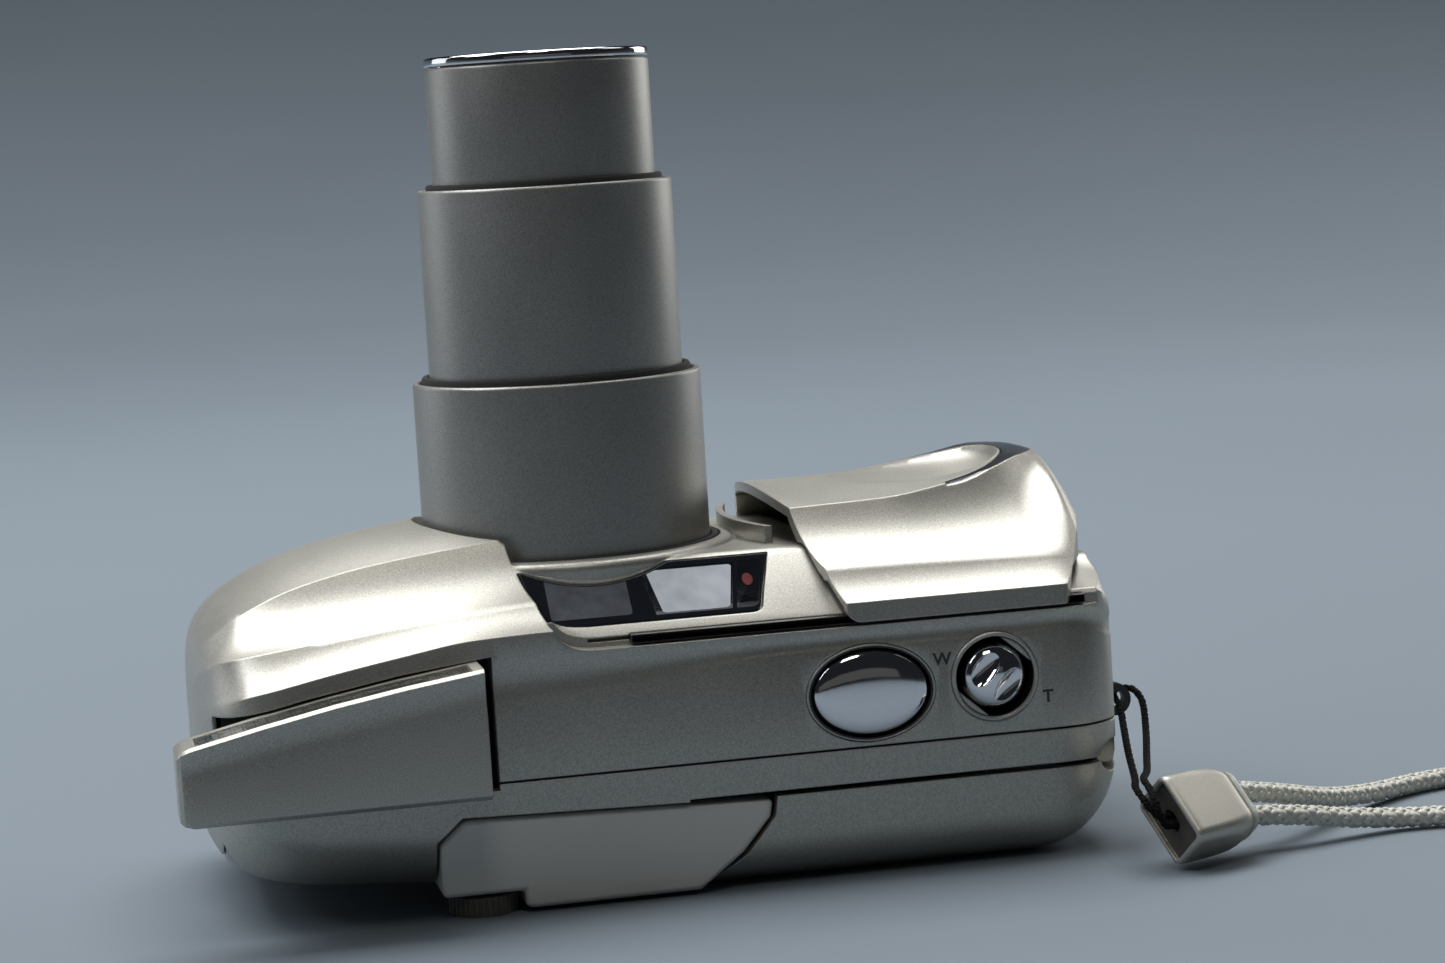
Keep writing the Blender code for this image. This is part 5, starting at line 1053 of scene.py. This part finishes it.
def add_letters():
    """Raised-ink letters on the top face, which read with the lens pointing up."""
    for name, text, x, z in (("zoom_wide_letter", "W", 42.7, 27.4), ("zoom_tele_letter", "T", 56.6, 21.3)):
        curve = tuned(bpy.data.curves.new(name, "FONT"), body=text, size=2.3 * MM, extrude=0.02 * MM,
                      offset=0.05 * MM, align_x="CENTER", align_y="CENTER")
        curve.materials.append(FINISHES["print"])
        obj = linked(name, curve)
        obj.matrix_world = Matrix.Translation(AXIS + Vector((x, -TOP - 0.02, z)) * MM) @ spun(90, "X")
        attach(obj, "casing")


# ---------------- lens
def add_barrels():
    """Telescoping barrels with a rounded rim, and the dark seals that fill their mouths."""
    for name, node, body, outside, low, high, collar, inside in (
            ("outer_zoom_tube", "outer_barrel", "outer_stage", 19.2, 34.3, 65.5, 20.4, 18.3),
            ("middle_zoom_tube", "middle_barrel", "middle_stage", 16.9, 60.7, 90.9, 17.55, 16.2),
            ("inner_zoom_tube", "inner_barrel", "inner_stage", 14.82, 85.6, 106.8, 15.45, 14.02)):
        tube = turned(
            [(inside - 0.4, low), (collar, low), (collar, low + 2.0), (outside, low + 2.3),
             (outside, high - 0.45), (outside - 0.04, high - 0.25), (outside - 0.14, high - 0.09),
             (outside - 0.3, high), (inside + 0.1, high), (inside, high - 0.1), (inside, high - 2.3),
             (inside - 0.4, high - 2.6)], 160)
        piece(name, tube, "barrel_silver", body, node, angle=50)
    for name, node, body, outside, inside, low, high in (
            ("outer_wiper", "outer_barrel_seal", "outer_stage", 17.95, 17.02, 63.3, 66.25),
            ("middle_wiper", "middle_barrel_seal", "middle_stage", 15.7, 14.94, 88.8, 91.6),
            ("mount_wiper", "lens_hole_seal", "casing", 20.45, 19.35, 41.2, 43.1)):
        wiper = turned([(inside, low), (outside, low), (outside, high - 0.3), (outside - 0.2, high),
                        (inside + 0.2, high), (inside + 0.05, high - 0.2), (inside, high - 0.5)], 128)
        piece(name, wiper, "black_rubber", body, node, angle=50)


def add_lens_front():
    ring = turned([(13.1, 107.0), (14.7, 107.0), (14.84, 107.1), (14.86, 107.25), (14.86, 107.85),
                   (14.8, 108.02), (14.66, 108.14), (14.4, 108.2), (13.95, 108.2), (13.5, 108.0),
                   (13.2, 107.7)], 128)
    piece("front_rim", ring, "chrome", "inner_stage", "front_ring", angle=50)
    steps = [(8.6, 102.4), (12.7, 102.4), (12.7, 107.3), (12.3, 107.3), (12.1, 106.9), (11.8, 106.9),
             (11.6, 106.4), (11.2, 106.4), (11.0, 105.9), (10.6, 105.8), (9.9, 105.2), (9.2, 104.9),
             (8.6, 104.2)]
    piece("lens_front_bezel", turned(steps, 96), "black_plastic", "inner_stage", "lens_bezel", angle=20)
    crown = [(8.3 * i / 16, 104.8 - 1.4 * (i / 16) ** 2) for i in range(17)]
    lens = turned([(0, 100.2), (7.9, 100.2), (8.3, 101.2)] + crown[::-1], 96)
    piece("front_element", lens, "glass", "inner_stage", "front_lens")


# ---------------- strap
def add_clasp():
    """The clasp is drawn along +X from its middle, then rolled on its edge and turned to the side."""
    long, short, reach = CLASP_LONG / 2, CLASP_SHORT / 2, CLASP_LENGTH / 2
    sleeve_end = reach - 1.7

    def block(*sections):
        """Lofted bar through sections, each (x, inset, corner radius)."""
        return loft([[(x, y, z) for y, z in rounded(
            -long + inset, long - inset, -short + inset, short - inset, corner, 10)]
            for x, inset, corner in sections])

    def eye():
        return prism(oval(0, 0, 1.6, 0.85, 40), -reach - 1, -reach + 4.2, "X")

    def bores():
        return [rod(1.66, 0.8, reach + 1, 40, (side * 1.95, 0), "X") for side, _share in SIDES]

    sleeve = block((-reach, 0.5, 1.0), (-reach + 0.08, 0.26, 1.15), (-reach + 0.25, 0.1, 1.3),
                   (-reach + 0.55, 0.02, 1.4), (-reach + 1.2, 0.0, 1.5), (0, 0.0, 1.7),
                   (sleeve_end - 2.4, 0.08, 1.9), (sleeve_end - 1.2, 0.26, 2.0),
                   (sleeve_end - 0.4, 0.5, 2.0), (sleeve_end, 0.75, 1.9))
    collar = block((sleeve_end + GAP, 0.7, 1.7), (reach - 0.7, 0.8, 1.7), (reach - 0.3, 1.0, 1.7),
                   (reach, 1.4, 1.6))
    sunk_end = block((-reach - 1, 0.75, 0.6), (-reach + 0.6, 0.75, 0.6))
    plate = block((-reach + 0.58, 0.8, 0.55), (-reach + 0.9, 0.8, 0.55))
    for name, mesh, finish, node, slot in (
            ("clasp_case", shaped(sleeve, *cut(sunk_end, eye(), *bores())), "clasp_metal", "strap_clasp",
             "steel"),
            ("clasp_end_band", shaped(collar, *cut(*bores())), "frosted", "strap_clasp_collar", "clear"),
            ("clasp_end_plate", shaped(plate, *cut(eye())), "clasp_end", None, "steel")):
        mesh.transform(Matrix.Translation(CLASP_MIDDLE) @ spun(CLASP_TURN, "Z") @ spun(CLASP_ROLL, "X"))
        piece(name, mesh, finish, "casing", node)
    lug = prism([(64.5, 19.7), (64.5, 17.9), (LUG_X - 1.2, 17.9)]
                + arc(LUG_X, LUG_Z, 2.2, 2.2, range(-170, 91, 8)) + [(LUG_X - 0.6, 19.7)],
                LUG_Y - 0.75, LUG_Y + 0.75, "Y")
    eyelet = shaped(lug, *cut(rod(1.15, LUG_Y - 2, LUG_Y + 2, 48, (LUG_X + 0.1, LUG_Z))))
    piece("strap_eyelet", eyelet, "black_plastic", "casing", "strap_lug", bevel=0.2)


# ---------------- carried-over solids
def finish_carried():
    """Procedural finish and smooth shading on every solid that is shown as it was packed."""
    for row in frame["record"]["subparts"]:
        mesh = frame["nodes"][row["node"]].data
        mesh.materials.clear()
        mesh.materials.append(FINISHES[row["material_slot"]])
        mesh.shade_smooth()
        mesh.set_sharp_from_angle(angle=radians(32))


add_camera()
add_finishes()
add_cords()
add_stage()
add_light()
add_casing()
add_screws()
add_doors()
add_eyepiece()
add_window()
add_cover()
add_flash()
add_controls()
add_letters()
add_barrels()
add_lens_front()
add_clasp()
finish_carried()
